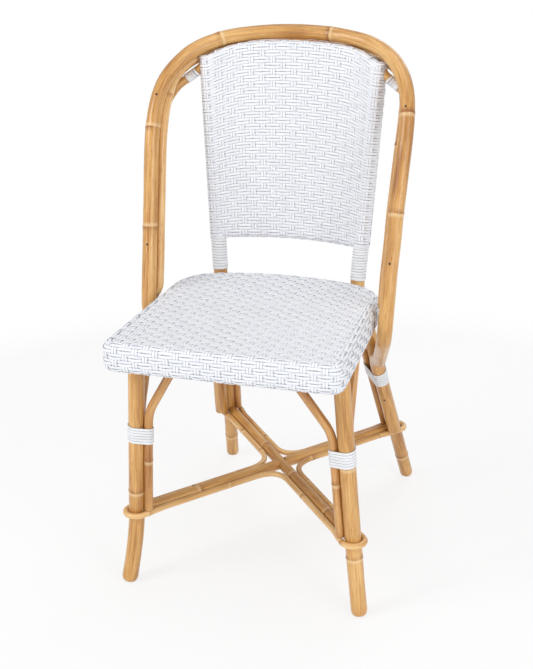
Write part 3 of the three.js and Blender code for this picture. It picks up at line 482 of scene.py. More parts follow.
def new_piece(name, vertices, faces, material, attributes=None, smooth=True):
    mesh = bpy.data.meshes.new(name)
    mesh.from_pydata(vertices.tolist(), [], faces)
    if smooth:
        mesh.polygons.foreach_set("use_smooth", np.ones(len(mesh.polygons), bool))
    for key, values in (attributes or {}).items():
        kind, field = ("FLOAT_VECTOR", "vector") if values.ndim == 2 else ("FLOAT", "value")
        data = mesh.attributes.new(key, kind, "POINT").data
        data.foreach_set(field, values.astype(np.float32).ravel())
    mesh.update()
    piece = bpy.data.objects.new(name, mesh)
    bpy.context.scene.collection.objects.link(piece)
    mesh.materials.append(material)
    return piece


def finish_piece(piece, slot, *nodes):
    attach(piece, "root")
    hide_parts(*nodes)


# Faces of a tube, whose rings are the rows of index
def tube_faces(index, closed=False):
    here, there = (index, np.roll(index, -1, axis=0)) if closed else (index[:-1], index[1:])
    corners = [here, np.roll(here, -1, axis=1), np.roll(there, -1, axis=1), there]
    faces = np.stack(corners, axis=-1).reshape(-1, 4).tolist()
    return faces if closed else faces + [index[0][::-1].tolist(), index[-1].tolist()]


# Directions square to a line that turn no more than it does
def carried_frames(points):
    runs = tangents(points)
    first = vec(0, -1, 0.1)
    if abs(unit(first).dot(runs[0])) > 0.95:
        first = vec(1, 0, 0)
    normals = np.zeros_like(points)
    normals[0] = unit(first - runs[0] * first.dot(runs[0]))
    for i in range(1, len(points)):
        normals[i] = unit(normals[i - 1] - runs[i] * normals[i - 1].dot(runs[i]))
    return runs, normals, np.cross(runs, normals)


# A cane's shape: swellings at a ring as height, place and width, and slow changes of its radius
# as size, rate and shift
CANE_STEP = 0.0035
CANE_SIDES = 28
RIDGE_OFFSETS = np.array([-5, -3, -1.8, -1.1, -0.6, -0.2, 0.2, 0.6, 1.1, 1.8, 3, 5]) * 0.001
RING_BUMPS = [(0.045, 0.0006, 0.0042), (0.035, 0.0002, 0.0009), (-0.03, -0.0013, 0.0007)]
RING_SWELL = 0.8
RING_TILT = 0.0006
NO_RING = 0.05
WANDER = [(0.008, 31, 7), (0.006, 83, 3)]
END_ROUND = 0.0016
FOOT_FLAT = 0.54
LEVEL_REACH = 0.03
LEAST_STEP = 0.00012


def cane_stations(total, rings, rounds):
    parts = [np.linspace(0, total, max(int(total / CANE_STEP), 2) + 1)]
    parts += [ring + RIDGE_OFFSETS for ring in rings]
    for at_start, depth in rounds:
        steps = depth * (1 - np.cos(np.linspace(0, math.pi / 2, 6)))
        parts.append(steps if at_start else total - steps)
    stations = np.unique(np.round(np.concatenate(parts), 5))
    stations = stations[(stations >= 0) & (stations <= total)]
    kept = np.concatenate([[True], np.diff(stations) > LEAST_STEP])
    kept[-1] = True
    return stations[kept]


# Radius factor near an end: rounded over a depth
def end_factor(distance, depth, flat):
    t = np.clip(distance / depth, 0, 1)
    return 1 - (1 - flat) * (1 - np.sqrt(1 - (1 - t) ** 2))


# Distance to the nearest ring at each station, and how far the rings swell the cane there
def ring_shape(stations, places):
    ridge = np.full(len(stations), NO_RING)
    swell = 0 * stations
    for place in places:
        away = stations - place
        ridge = np.where(np.abs(away) < np.abs(ridge), away, ridge)
        for height, at, width in RING_BUMPS:
            swell += height * np.exp(-(((away - at) / width) ** 2))
    return ridge, swell


# One pole that replaces a node; a look is its material and slot, a ring a share of its length
def cane(node, line, radius, look, rings=(), seed=0.0, foot=False, level=None, level_end=None):
    line = np.asarray(line, float)
    total = lengths(line)[-1]
    end_depth, end_flat = END_ROUND, 1 - END_ROUND / radius
    start_depth, start_flat = (radius * FOOT_SHARE, FOOT_FLAT) if foot else (end_depth, end_flat)
    places = [ring * total for ring in rings]
    stations = cane_stations(total, places, ((True, start_depth), (False, end_depth)))
    centres = at_lengths(line, stations)
    runs, normals, sides = carried_frames(centres)
    ridge, swell = ring_shape(stations, places)
    wander = sum(size * np.sin(stations * rate + seed * shift) for size, rate, shift in WANDER)
    reach = radius * (1 + swell * RING_SWELL + wander)
    reach = reach * end_factor(stations, start_depth, start_flat)
    reach = reach * end_factor(total - stations, end_depth, end_flat)
    turns = 2 * math.pi * np.arange(CANE_SIDES) / CANE_SIDES
    cos, sin = np.cos(turns), np.sin(turns)
    around = normals[:, None] * cos[None, :, None] + sides[:, None] * sin[None, :, None]
    vertices = centres[:, None] + around * reach[:, None, None]
    for height, row, distance in ((level, 0, stations), (level_end, -1, total - stations)):
        if height is not None:
            fade = np.clip(1 - distance / LEVEL_REACH, 0, 1)[:, None]
            lift = (height - vertices[row, :, 2]) / runs[row][2]
            vertices = vertices + runs[:, None] * (fade * lift[None])[..., None]
    if foot:
        vertices[..., 2] = np.maximum(vertices[..., 2], 0)
    grain = np.broadcast_arrays(cos * radius, sin * radius, stations[:, None] + seed)
    cap = np.zeros(len(stations))
    cap[[0, -1]] = 1
    attributes = {
        "grain": np.stack(grain, axis=-1).reshape(-1, 3),
        "ridge": (ridge[:, None] + RING_TILT * np.cos(turns + seed * 5)).ravel(),
        "cut": np.repeat(cap, CANE_SIDES),
    }
    faces = tube_faces(np.arange(len(stations) * CANE_SIDES).reshape(-1, CANE_SIDES))
    piece = new_piece(node + "_pole", vertices.reshape(-1, 3), faces, look[0], attributes)
    finish_piece(piece, look[1], node)


# Flat strands: each is a line of centres with side and up directions; the section is a low dome
STRAND_SECTION = np.array(
    [[-0.5, -0.35], [0.5, -0.35], [0.5, 0.14], [0.36, 0.5], [-0.36, 0.5], [-0.5, 0.14]]
)
STRAND_SHIFT = 0.37


def strand_set(name, node, strands, width, thickness, material, closed=False):
    vertices, faces, places = [], [], []
    base = 0
    for number, (centres, side, up) in enumerate(strands):
        offsets = side[:, None] * STRAND_SECTION[None, :, :1] * width
        offsets = offsets + up[:, None] * STRAND_SECTION[None, :, 1:] * thickness
        vertices.append((centres[:, None] + offsets).reshape(-1, 3))
        index = base + np.arange(offsets.shape[0] * offsets.shape[1]).reshape(offsets.shape[:2])
        faces += tube_faces(index, closed)
        run = lengths(centres)[:, None]
        place = np.broadcast_arrays(STRAND_SECTION[:, 0] * width, run, number * STRAND_SHIFT)
        places.append(np.stack(place, axis=-1).reshape(-1, 3))
        base += index.size
    attributes = {"strand": np.vstack(places)}
    piece = new_piece(name, np.vstack(vertices), faces, material, attributes)
    finish_piece(piece, "white_weave", node)


def woven(name, node, strands, width, closed=False):
    strand_set(name, node, strands, width, STRAND_THICKNESS, WEAVE, closed)


# Materials

# Nodes of one material or of the world
class Shader:
    def __init__(self, tree):
        self.nodes = tree.nodes
        self.links = tree.links

    # An input takes a constant or another node's output
    def fill(self, node, inputs):
        for key, value in inputs.items():
            if isinstance(value, bpy.types.NodeSocket):
                self.links.new(value, node.inputs[key])
            else:
                node.inputs[key].default_value = value

    def node(self, kind, inputs, **settings):
        node = self.nodes.new("ShaderNode" + kind)
        for key, value in settings.items():
            setattr(node, key, value)
        self.fill(node, inputs)
        return node.outputs

    def attribute(self, name, output):
        return self.node("Attribute", {}, attribute_name=name)[output]

    def noise(self, source, scale, detail, roughness=0.55):
        inputs = {"Scale": scale, "Detail": detail, "Roughness": roughness, "Vector": source}
        return self.node("TexNoise", inputs)["Fac"]

    # Noise that is stretched by its scale along each axis
    def grain(self, source, scale, detail, roughness=0.55):
        place = self.node("Mapping", {"Scale": scale, "Vector": source})["Vector"]
        return self.noise(place, 1.0, detail, roughness)

    def ramp(self, source, *stops):
        node = self.nodes.new("ShaderNodeValToRGB")
        elements = node.color_ramp.elements
        while len(elements) < len(stops):
            elements.new(0.5)
        for element, (place, colour) in zip(elements, stops):
            element.position = place
            element.color = (*colour, 1)
        self.fill(node, {"Fac": source})
        return node.outputs["Color"]

    def grey(self, source, *stops):
        return self.ramp(source, *[(place, (value,) * 3) for place, value in stops])

    # Colour over another one by a factor; 6 and 7 are the node's two colour inputs
    def blend(self, kind, factor, first, second):
        second = (*second, 1) if isinstance(second, tuple) else second
        inputs = {"Factor": factor, 6: first, 7: second}
        return self.node("Mix", inputs, data_type="RGBA", blend_type=kind)[2]

    def maths(self, kind, first, second):
        return self.node("Math", {0: first, 1: second}, operation=kind)[0]

    def add(self, first, second):
        return self.maths("ADD", first, second)

    def times(self, first, second):
        return self.maths("MULTIPLY", first, second)

    def between(self, value, low_end, high_end):
        inputs = {"To Min": low_end, "To Max": high_end, "Value": value}
        return self.node("MapRange", inputs)["Result"]

    def bump(self, height, distance, strength):
        inputs = {"Strength": strength, "Distance": distance, "Height": height}
        return self.node("Bump", inputs)["Normal"]


def new_material(name):
    material = bpy.data.materials.new(name)
    material.use_nodes = True
    shader = Shader(material.node_tree)
    return material, shader, shader.nodes["Principled BSDF"]


# Noise along a cane: stretch round and along it, detail and roughness
CANE_GRAINS = {
    "fibre": ((900, 900, 26), 4.0, 0.62),
    "broad": ((85, 85, 9), 3.0),
    "tone": ((18, 18, 4.2), 2.0),
    "fleck": ((520, 520, 70), 2.0, 0.5),
    "streak": ((330, 330, 7), 2.0, 0.5),
    "patch": ((60, 60, 38), 2.0, 0.6),
    "pores": ((1500, 1500, 10), 1.0),
}
STREAK_BROWN = (0.78, 0.66, 0.52)
FLECK_BROWN = (0.6, 0.46, 0.34)
RING_PALE = (0.86, 0.66, 0.38)
RING_BROWN = (0.5, 0.32, 0.19)
CUT_DARK = (0.16, 0.09, 0.04)
CUT_LIGHT = (0.5, 0.33, 0.17)


# Lacquered rattan: fibres, slow changes of tone, streaks, dark flecks, a pale and a brown band
# in patches at each ring, and the pores of a cut end
def rattan_material(name, dark, middle, light, ring_pale=0.45):
    material, shader, surface = new_material(name)
    place = shader.attribute("grain", "Vector")
    grains = {key: shader.grain(place, *row) for key, row in CANE_GRAINS.items()}
    fibre, broad, patch = grains["fibre"], grains["broad"], grains["patch"]
    tone = shader.add(shader.times(fibre, 0.36), shader.times(broad, 0.34))
    tone = shader.add(tone, shader.times(grains["tone"], 0.3))
    base = shader.ramp(tone, (0.4, dark), (0.5, middle), (0.6, light))
    streaks = shader.grey(grains["streak"], (0.33, 0.85), (0.46, 0.0))
    base = shader.blend("MULTIPLY", streaks, base, STREAK_BROWN)
    flecks = shader.grey(grains["fleck"], (0.25, 1.0), (0.33, 0.0))
    base = shader.blend("MULTIPLY", flecks, base, FLECK_BROWN)
    wavy = shader.add(shader.attribute("ridge", "Fac"), shader.times(patch, 0.003))
    band = shader.add(shader.times(shader.add(wavy, -0.0015), 40.0), 0.5)
    pale = shader.grey(band, (0.2, 0.0), (0.34, ring_pale), (0.46, ring_pale), (0.5, 0.0))
    brown = shader.grey(band, (0.49, 0.0), (0.53, 0.95), (0.64, 0.6), (0.86, 0.0))
    brown = shader.times(brown, shader.grey(patch, (0.36, 0.15), (0.6, 1.0)))
    base = shader.blend("MIX", pale, base, RING_PALE)
    base = shader.blend("MULTIPLY", brown, base, RING_BROWN)
    cut = shader.ramp(grains["pores"], (0.42, CUT_DARK), (0.56, CUT_LIGHT))
    base = shader.blend("MIX", shader.attribute("cut", "Fac"), base, cut)
    height = shader.add(shader.times(fibre, 0.7), broad)
    shader.fill(surface, {
        "Base Color": base,
        "Roughness": shader.between(broad, 0.3, 0.5),
        "Coat Weight": 0.42,
        "Coat Roughness": 0.13,
        "Normal": shader.bump(height, 0.00035, 0.55),
    })
    return material


STRIP_LINES = ((2600, 22, 900), 2.0)
STRIP_TONES = ((60, 26, 300), 2.0)
EDGE_SHADE_SCALE = 455.0


# White strip: fine lines along it, faint changes from strip to strip, and painted contact shadow at
# its edges
def strand_material(name, shade, light, edge_shade):
    material, shader, surface = new_material(name)
    place = shader.attribute("strand", "Vector")
    lines = shader.grain(place, *STRIP_LINES)
    tone = shader.grain(place, *STRIP_TONES)
    summed = shader.add(shader.times(lines, 0.45), shader.times(tone, 0.55))
    base = shader.ramp(summed, (0.34, shade), (0.62, light))
    off_middle = shader.node("SeparateXYZ", {0: place})["X"]
    off_middle = shader.node("Math", {0: off_middle}, operation="ABSOLUTE")[0]
    # Painted shade: each strip darkens towards its edges, for the contact shadow between
    # neighbouring strips
    edge = shader.grey(shader.times(off_middle, EDGE_SHADE_SCALE), (0.8, 0.0), (0.98, 1.0))
    shader.fill(surface, {
        "Base Color": shader.blend("MIX", edge, base, edge_shade),
        "Roughness": shader.between(tone, 0.36, 0.54),
        "Normal": shader.bump(lines, 0.00012, 0.5),
    })
    return material


def nail_material():
    material, shader, surface = new_material("nail_brown")
    spots = shader.noise(shader.node("TexCoord", {})["Object"], 900.0, 3.0)
    shader.fill(surface, {
        "Base Color": shader.ramp(spots, (0.4, (0.045, 0.032, 0.024)), (0.62, (0.16, 0.11, 0.075))),
        "Metallic": 0.6,
        "Roughness": shader.grey(spots, (0.35, 0.38), (0.65, 0.6)),
        "Normal": shader.bump(spots, 0.0001, 0.4),
    })
    return material


MID = (
    rattan_material("rattan_mid", (0.4, 0.17, 0.04), (0.63, 0.33, 0.094), (0.79, 0.49, 0.19)),
    "rattan",
)
PALE = (
    rattan_material(
        "rattan_light", (0.5, 0.24, 0.07), (0.71, 0.405, 0.145), (0.86, 0.57, 0.26), 0.3
    ),
    "rattan_pale",
)
DEEP = (
    rattan_material("rattan_dark", (0.38, 0.155, 0.038), (0.58, 0.29, 0.088), (0.75, 0.44, 0.17)),
    "rattan_deep",
)
# Dark grey-brown rattan for the hidden seat frame and the back's foot rail: painted shade, so the
# weave's pinholes read dark
PAINTED_SHADE_RATTAN = rattan_material("rattan_painted_shade", (0.13, 0.105, 0.08), (0.2, 0.17, 0.14), (0.3, 0.26, 0.22))
# The last colour of each strip material is the painted shade at the strips' edges
WEAVE = strand_material(
    "woven_strip", (0.76, 0.78, 0.83), (0.86, 0.872, 0.905), (0.64, 0.665, 0.73)
)
PEEL = strand_material("peel_strip", (0.76, 0.775, 0.805), (0.86, 0.87, 0.89), (0.42, 0.43, 0.46))
NAIL = nail_material()


# Poles of the chair

FRONT_LEG_RINGS = {"left": (0.4,), "right": (0.235, 0.62)}
REAR_LEG_RINGS = (0.07, 0.36)
OUTER_HOOP_RINGS = (0.1, 0.287, 0.36, 0.474, 0.563, 0.66, 0.736, 0.9)
INNER_HOOP_RINGS = (0.12, 0.3, 0.48, 0.66, 0.86)
ARM_RINGS = (0.34, 0.57, 0.83)
HALF_ARM_RINGS = (0.42,)
LOOP_RINGS = (0.16, 0.38, 0.63, 0.85)
FRAME_RINGS = (0.2, 0.45, 0.7)
CROSS_RINGS = (0.35, 0.8)
FRONT_LEG_TOP = FRONT_HEAD - FRONT_AXIS * FRAME_RADIUS * 0.9
UPRIGHT_END = UPRIGHT_TOP - UPRIGHT_AXIS * RAIL_RADIUS * 1.2
FRONT_LEG_CONTROL = line_at(FRONT_KNEE, FRONT_HEAD, RING_HEIGHT * 0.6)


def add_legs():
    front = np.vstack([bezier(FRONT_FOOT, FRONT_LEG_CONTROL, FRONT_KNEE, 24), FRONT_LEG_TOP])
    rear = bent_path(REAR_FOOT, REAR_BEND, UPRIGHT_END, UPRIGHT_BEND)
    for side in SIDES:
        name = side_name(side)
        line = on_side(front, side)
        cane("front_leg_" + name, line, LEG_RADIUS, MID, FRONT_LEG_RINGS[name], 1.3 + side, True)
        line = on_side(rear, side)
        cane("rear_leg_" + name, line, REAR_LEG_RADIUS, MID, REAR_LEG_RINGS, 4.1 + side, True)


def add_hoops():
    cane(
        "outer_hoop", HOOP_LINE, HOOP_RADIUS, MID, OUTER_HOOP_RINGS, 8.2,
        level=FLOOR_OF_TAILS, level_end=FLOOR_OF_TAILS,
    )
    cane("inner_hoop", inner_hoop_line(), INNER_HOOP_RADIUS, PALE, INNER_HOOP_RINGS, 11.4)
    cane("back_top_rail", TOP_RAIL_LINE, RAIL_RADIUS, MID, (), 14.1)
    foot = bottom_rail_at(np.linspace(-1, 1, 60))
    # The back's foot rail, hidden in the weave, is given the painted-shade rattan
    cane("back_bottom_rail", foot, RAIL_RADIUS, (PAINTED_SHADE_RATTAN, "rattan"), (), 15.7)


def add_stretcher():
    left, right = CORNERS["rear_left"], CORNERS["front_right"]
    line = [left, mix(left, right, 0.5), right]
    cane("stretcher_arm_long", line, ARM_RADIUS, MID, ARM_RINGS, 17.2)
    for number, corner in enumerate(("front_left", "rear_right")):
        run = CORNERS[corner]
        near = CROSS_POINT + unit(run - CROSS_POINT) * ARM_RADIUS * 0.7
        line = [run, mix(run, near, 0.5), near]
        cane("stretcher_arm_" + corner, line, ARM_RADIUS, MID, HALF_ARM_RINGS, 19.5 + 2 * number)
    loops = {
        "front": wrapping_loop("front_left", "front_right", vec(0, -1, 0)),
        "rear": wrapping_loop("rear_left", "rear_right", vec(0, 1, 0)),
        "left": between_loop("front_left", "rear_left", vec(-1, 0, 0)),
        "right": between_loop("front_right", "rear_right", vec(1, 0, 0)),
    }
    for number, (name, line) in enumerate(loops.items()):
        seed = 23.1 + 1.7 * number
        cane("stretcher_loop_" + name, line, LOOP_RADIUS, PALE, LOOP_RINGS, seed)


FRONT_LEG = (FRONT_KNEE, FRONT_HEAD)
REAR_LEG = (REAR_FOOT, REAR_BEND)
FRONT_INNER = (FRONT_AXES[0], FRONT_BRACE_OFFSET, FRONT_BRACE_TOP)
FRONT_SIDE = (-FRONT_AXES[1], FRONT_BRACE_OFFSET, SIDE_BRACE_TOP)
REAR_INNER = (REAR_AXES[0], REAR_BRACE_OFFSET, REAR_BRACE_TOP)

# Braces: name, the leg's line, the way off it and how far, the upper end, and the radius
BRACES = [
    ("front_leg_inner_brace_", *FRONT_LEG, *FRONT_INNER, BRACE_RADIUS),
    ("front_leg_side_brace_", *FRONT_LEG, *FRONT_SIDE, BRACE_RADIUS),
    ("rear_leg_inner_brace_", *REAR_LEG, *REAR_INNER, REAR_BRACE_RADIUS),
]


def add_braces():
    for number, (name, *route, radius) in enumerate(BRACES):
        line = brace_line(*route)
        rings = (0.3 + 0.07 * number,)
        for side in SIDES:
            node = name + side_name(side)
            seed = 31 + 2.3 * number + side
            cane(node, on_side(line, side), radius, DEEP, rings, seed, level=FLOOR_OF_TAILS)


def add_seat_frame():
    ring = outline_points(np.linspace(0, OUTLINE_LENGTH, 400), EDGE_OUTSIDE)
    half = len(ring) // 2
    loop = np.vstack([ring[half:-1], ring[: half + 1]])
    for name, z in (("upper", UPPER_FRAME_Z), ("lower", LOWER_FRAME_Z)):
        line = loop.copy()
        line[:, 2] = z
        # The hidden seat frame is given the painted-shade rattan, seen dark through the weave's
        # pinholes
        look = (PAINTED_SHADE_RATTAN, "rattan_deep")
        cane("seat_frame_" + name, line, FRAME_RADIUS, look, FRAME_RINGS, 41 + z * 10)
    for name, y in (("front", CROSS_RAIL_Y), ("rear", REAR_CROSS_RAIL_Y)):
        reach = seat_half_at(y) - EDGE_OUTSIDE - FRAME_BITE
        ends = [vec(x, y, CROSS_RAIL_Z) for x in (-reach, 0, reach)]
        cane("seat_cross_rail_" + name, ends, CROSS_RADIUS, DEEP, CROSS_RINGS, 46 + y * 10)


# Seat outline, from the middle of the front to the right and round

ROUND_STEPS = 24
BACK_CURVE_STEPS = 40


def outline_half():
    front_corner = vec(SEAT_FRONT_HALF, SEAT_FRONT, 0)
    back_corner = vec(SEAT_BACK_HALF, SEAT_BACK_CORNER, 0)
    side = unit(back_corner - front_corner)
    front_start = vec(SEAT_FRONT_HALF - SEAT_FRONT_ROUND, SEAT_FRONT, 0)
    front_end = front_corner + side * SEAT_FRONT_ROUND
    back_start = back_corner - side * SEAT_BACK_ROUND
    back_x = SEAT_BACK_HALF - SEAT_BACK_ROUND
    back_end = vec(back_x, seat_back_at(back_x), 0)
    xs = np.linspace(back_x, 0, BACK_CURVE_STEPS)[1:]
    back = np.stack([xs, seat_back_at(xs), 0 * xs], axis=1)
    front_round = bezier(front_start, front_corner, front_end, ROUND_STEPS)
    back_round = bezier(back_start, back_corner, back_end, ROUND_STEPS)
    return np.vstack([[vec(0, SEAT_FRONT, 0)], front_round, back_round, back])


OUTLINE_STEPS = 1200
OUTLINE = respaced(both_halves(outline_half()), OUTLINE_STEPS)
OUTLINE_RUN = lengths(OUTLINE)
OUTLINE_LENGTH = OUTLINE_RUN[-1]
OUTLINE_TANGENT = units(np.roll(OUTLINE, -1, axis=0) - np.roll(OUTLINE, 1, axis=0) + 1e-12)
OUTLINE_TANGENT[[0, -1]] = (1, 0, 0)
OUTLINE_OUT = np.stack([OUTLINE_TANGENT[:, 1], -OUTLINE_TANGENT[:, 0], 0 * OUTLINE_RUN], axis=1)


def outline_sample(table, places):
    return at_table(table, OUTLINE_RUN, places % OUTLINE_LENGTH)


def outline_points(places, inset):
    return outline_sample(OUTLINE, places) - units(outline_sample(OUTLINE_OUT, places)) * inset


# Skirt of the seat, by place along the outline and depth below the top along the bent profile
EDGE_RADIUS = EDGE_OUTSIDE - WEAVE_THICKNESS / 2
QUARTER = EDGE_RADIUS * math.pi / 2
SKIRT_DROP = UPPER_FRAME_Z - LOWER_FRAME_Z
SKIRT_LENGTH = 2 * QUARTER + SKIRT_DROP
BAND_ROWS = 12
BAND_PITCH = SKIRT_LENGTH / BAND_ROWS
UP = vec(0, 0, 1)


def skirt_surface(place, depth):
    out = units(outline_sample(OUTLINE_OUT, place))
    upper = np.clip(depth, 0, QUARTER) / EDGE_RADIUS
    lower = np.clip(depth - QUARTER - SKIRT_DROP, 0, QUARTER) / EDGE_RADIUS
    turn = np.where(lower > 0, math.pi / 2 + lower, upper)
    normal = out * np.sin(turn)[..., None] + UP * np.cos(turn)[..., None]
    centre = outline_sample(OUTLINE, place) - out * EDGE_OUTSIDE
    centre[..., 2] = UPPER_FRAME_Z - np.clip(depth - QUARTER, 0, SKIRT_DROP)
    inward = np.clip(-depth, 0, None)[..., None]
    return centre + normal * EDGE_RADIUS - out * inward, normal


TOP_DISH = WEAVE_THICKNESS
DISH_HALF_WIDTH = 0.16
INNER_EDGE = outline_points(np.linspace(0, OUTLINE_LENGTH / 2, 800), EDGE_OUTSIDE)
WIDEST = int(np.argmax(INNER_EDGE[:, 0]))


def top_front_at(x):
    part = INNER_EDGE[: WIDEST + 1]
    return np.interp(np.abs(x), part[:, 0], part[:, 1])


def top_back_at(x):
    part = INNER_EDGE[WIDEST:][::-1]
    return np.interp(np.abs(x), part[:, 0], part[:, 1])


def flat_back_at(x):
    inside = np.minimum(np.abs(x), SEAT_BACK_HALF - SEAT_BACK_ROUND)
    slope = 2 * SEAT_BULGE * inside / SEAT_BACK_HALF**2
    return seat_back_at(inside) - EDGE_OUTSIDE - (np.abs(x) - inside) * slope


TOP_FRONT = SEAT_FRONT + EDGE_OUTSIDE
TOP_GROUPS = 34


# Place of the seat's top by x and by share from its front to its back
def top_point(x, share):
    y = mix(TOP_FRONT, flat_back_at(x), share)
    off_middle = np.maximum(np.abs(x) / DISH_HALF_WIDTH, np.abs(share - 0.5) * 2)
    z = SEAT_HEIGHT - WEAVE_THICKNESS / 2 - TOP_DISH * np.clip(2 * (1 - off_middle), 0, 1)
    return np.stack([x + 0 * share, y, z + 0 * y], axis=-1)


def wave(phase, sharpness):
    return np.tanh(sharpness * np.cos(math.pi * phase)) / math.tanh(sharpness)


ROW_SHARPNESS = 1.5
COLUMN_SHARPNESS = 3.2
THROUGH_FRONT = 9
THROUGH_BACK = 7
TOP_COLUMNS = 10
TUCK = 0.004
TUCK_DEPTH = 0.0024
ROW_STEP = 0.002
ROW_COVER = 0.985
COLUMN_STEP = 0.0014
LIP = 2 * BAND_PITCH
EDGE_SLACK = 1e-4
ROW_PINCH = 0.1
ROW_PINCH_SHIFT = 0.00022
ROW_PINCH_REACH = 0.005
COLUMN_PINCH = 0.16
COLUMN_PINCH_REACH = 0.13
ROW_SPREAD = (0.6, 1.4)


# Strand line with its own axes: side along the strip's width, up square to its face
def strand(centres, normals, closed=False):
    if closed:
        runs = units(np.roll(centres, -1, axis=0) - np.roll(centres, 1, axis=0))
    else:
        runs = units(np.gradient(centres, axis=0))
    side = units(np.cross(normals, runs))
    return [centres, side, np.cross(runs, side)]


def away_from_whole(values):
    return values - np.round(values)


# The strands of a column part where they dive, and rows pinch together at each column
def column_pinch(place):
    return 1 - COLUMN_PINCH * np.exp(-((away_from_whole(place) / COLUMN_PINCH_REACH) ** 2))


def row_pinch(place):
    return 1 / (1 + (away_from_whole(place) * COLUMN_PITCH / ROW_PINCH_REACH) ** 6)


def row_height(group, place):
    return -STRAND_RISE * (-1) ** group * wave(place, ROW_SHARPNESS)


def column_height(number, place):
    return STRAND_RISE * (-1) ** number * wave(place - 0.5, COLUMN_SHARPNESS)


# Both strands of a column
def column_pair(points, normals, height, place, closed=False):
    middle, side, up = strand(points + normals * height[:, None], normals, closed)
    narrow = side * column_pinch(place)[:, None]
    return [[middle + side * way * COLUMN_SPLIT, narrow, up] for way in (-0.5, 0.5)]


# One strand of a pair of rows; way says which of the two it is
def row_member(points, normals, height, place, way, closed=False):
    middle, side, up = strand(points + normals * height[:, None], normals, closed)
    pinch = row_pinch(place)[:, None]
    return [middle - side * way * ROW_PINCH_SHIFT * pinch, side * (1 - ROW_PINCH * pinch), up]


def row_way(number):
    return 1 if number % 2 else -1


def row_spread(pitch):
    return np.clip(ROW_COVER * pitch / ROW_WIDTH, *ROW_SPREAD)[:, None]


def tucked(distance_inside):
    return -TUCK_DEPTH * eased(np.clip((TUCK / 2 - distance_inside) / TUCK, 0, 1))


def row_end(share):
    xs = np.linspace(0, INNER_EDGE[WIDEST][0], 600)
    y = top_point(xs, share)[:, 1]
    inside = (y <= top_back_at(xs) + EDGE_SLACK) & (y >= top_front_at(xs) - EDGE_SLACK)
    inside[: len(xs) // 2] = True
    return xs[np.argmin(inside) - 1] if not inside.all() else xs[-1]


def add_seat_rows():
    strands = []
    count = 2 * TOP_GROUPS
    for number in range(count):
        share = (number + 0.5) / count
        end = row_end(share)
        x = np.linspace(-end - TUCK, end + TUCK, int(2 * end / ROW_STEP))
        place = x / COLUMN_PITCH
        height = row_height(number // 2, place) + tucked(end - np.abs(x))
        normals = np.tile(UP, (len(x), 1))
        middle, side, up = row_member(top_point(x, share), normals, height, place, row_way(number))
        pitch = (top_point(x, share + 0.5 / count) - top_point(x, share - 0.5 / count))[:, 1]
        strands.append([middle, side * row_spread(pitch), up])
    woven("seat_top_rows", "seat_weave", strands, ROW_WIDTH)


BACK_EDGE_REACH = 0.17
BACK_PLACES = OUTLINE_LENGTH / 2 + np.linspace(-BACK_EDGE_REACH, BACK_EDGE_REACH, 700)
BACK_EDGE_X = outline_points(BACK_PLACES, EDGE_OUTSIDE)[::-1, 0]


# Place on the outline of a point of the back edge
def back_place(x):
    return np.interp(x, BACK_EDGE_X, BACK_PLACES[::-1])


# A column over the seat, down its skirts where it goes through and else tucked under the rim
def seat_column(number):
    x = number * COLUMN_PITCH
    top_length = flat_back_at(np.array([x]))[0] - TOP_FRONT
    depth = np.arange(0, SKIRT_LENGTH + LIP, COLUMN_STEP)[1:]
    drop = depth / (2 * BAND_PITCH)
    share = np.linspace(0, 1, int(top_length / COLUMN_STEP))
    points = top_point(np.full_like(share, x), share)
    normals = np.tile(UP, (len(share), 1))
    place = share * TOP_GROUPS
    inside = 1 + 0 * share
    if abs(number) > THROUGH_BACK:
        last = top_back_at(np.array([x]))[0]
        inside = last - points[:, 1]
        kept = inside > -TUCK
        points, normals, place, inside = points[kept], normals[kept], place[kept], inside[kept]
    sunk = tucked(inside)
    if abs(number) <= THROUGH_BACK:
        centre, normal = skirt_surface(np.full_like(depth, back_place(x)), depth)
        points, normals = np.vstack([points, centre]), np.vstack([normals, normal])
        place = np.concatenate([place, TOP_GROUPS + drop])
        sunk = np.append(sunk, 0 * drop)
    if abs(number) > THROUGH_FRONT:
        first = top_front_at(np.array([x]))[0]
        inside = points[:, 1] - first
        kept = inside > -TUCK
        points, normals, place = points[kept], normals[kept], place[kept]
        sunk = sunk[kept] + tucked(inside[kept])
    else:
        centre, normal = skirt_surface(np.full_like(depth, x % OUTLINE_LENGTH), depth)
        points, normals = np.vstack([centre[::-1], points]), np.vstack([normal[::-1], normals])
        place = np.concatenate([-drop[::-1], place])
        sunk = np.append(0 * drop, sunk)
    return column_pair(points, normals, column_height(number, place) + sunk, place)


def add_seat_columns():
    strands = []
    for number in range(-TOP_COLUMNS, TOP_COLUMNS + 1):
        strands += seat_column(number)
    woven("seat_top_columns", "seat_weave", strands, COLUMN_WIDTH)


SIDE_COLUMNS = 24


# Places of the band's columns along the outline, once round
def band_columns():
    front = [number * COLUMN_PITCH for number in range(THROUGH_FRONT + 1)]
    back = [float(back_place(number * COLUMN_PITCH)) for number in range(THROUGH_BACK, 0, -1)]
    side = np.linspace(front[-1], back[0], SIDE_COLUMNS + 2)[1:-1].tolist()
    half = front + side + back
    rest = [OUTLINE_LENGTH - place for place in half[:0:-1]]
    return np.array(half + [OUTLINE_LENGTH / 2] + rest)


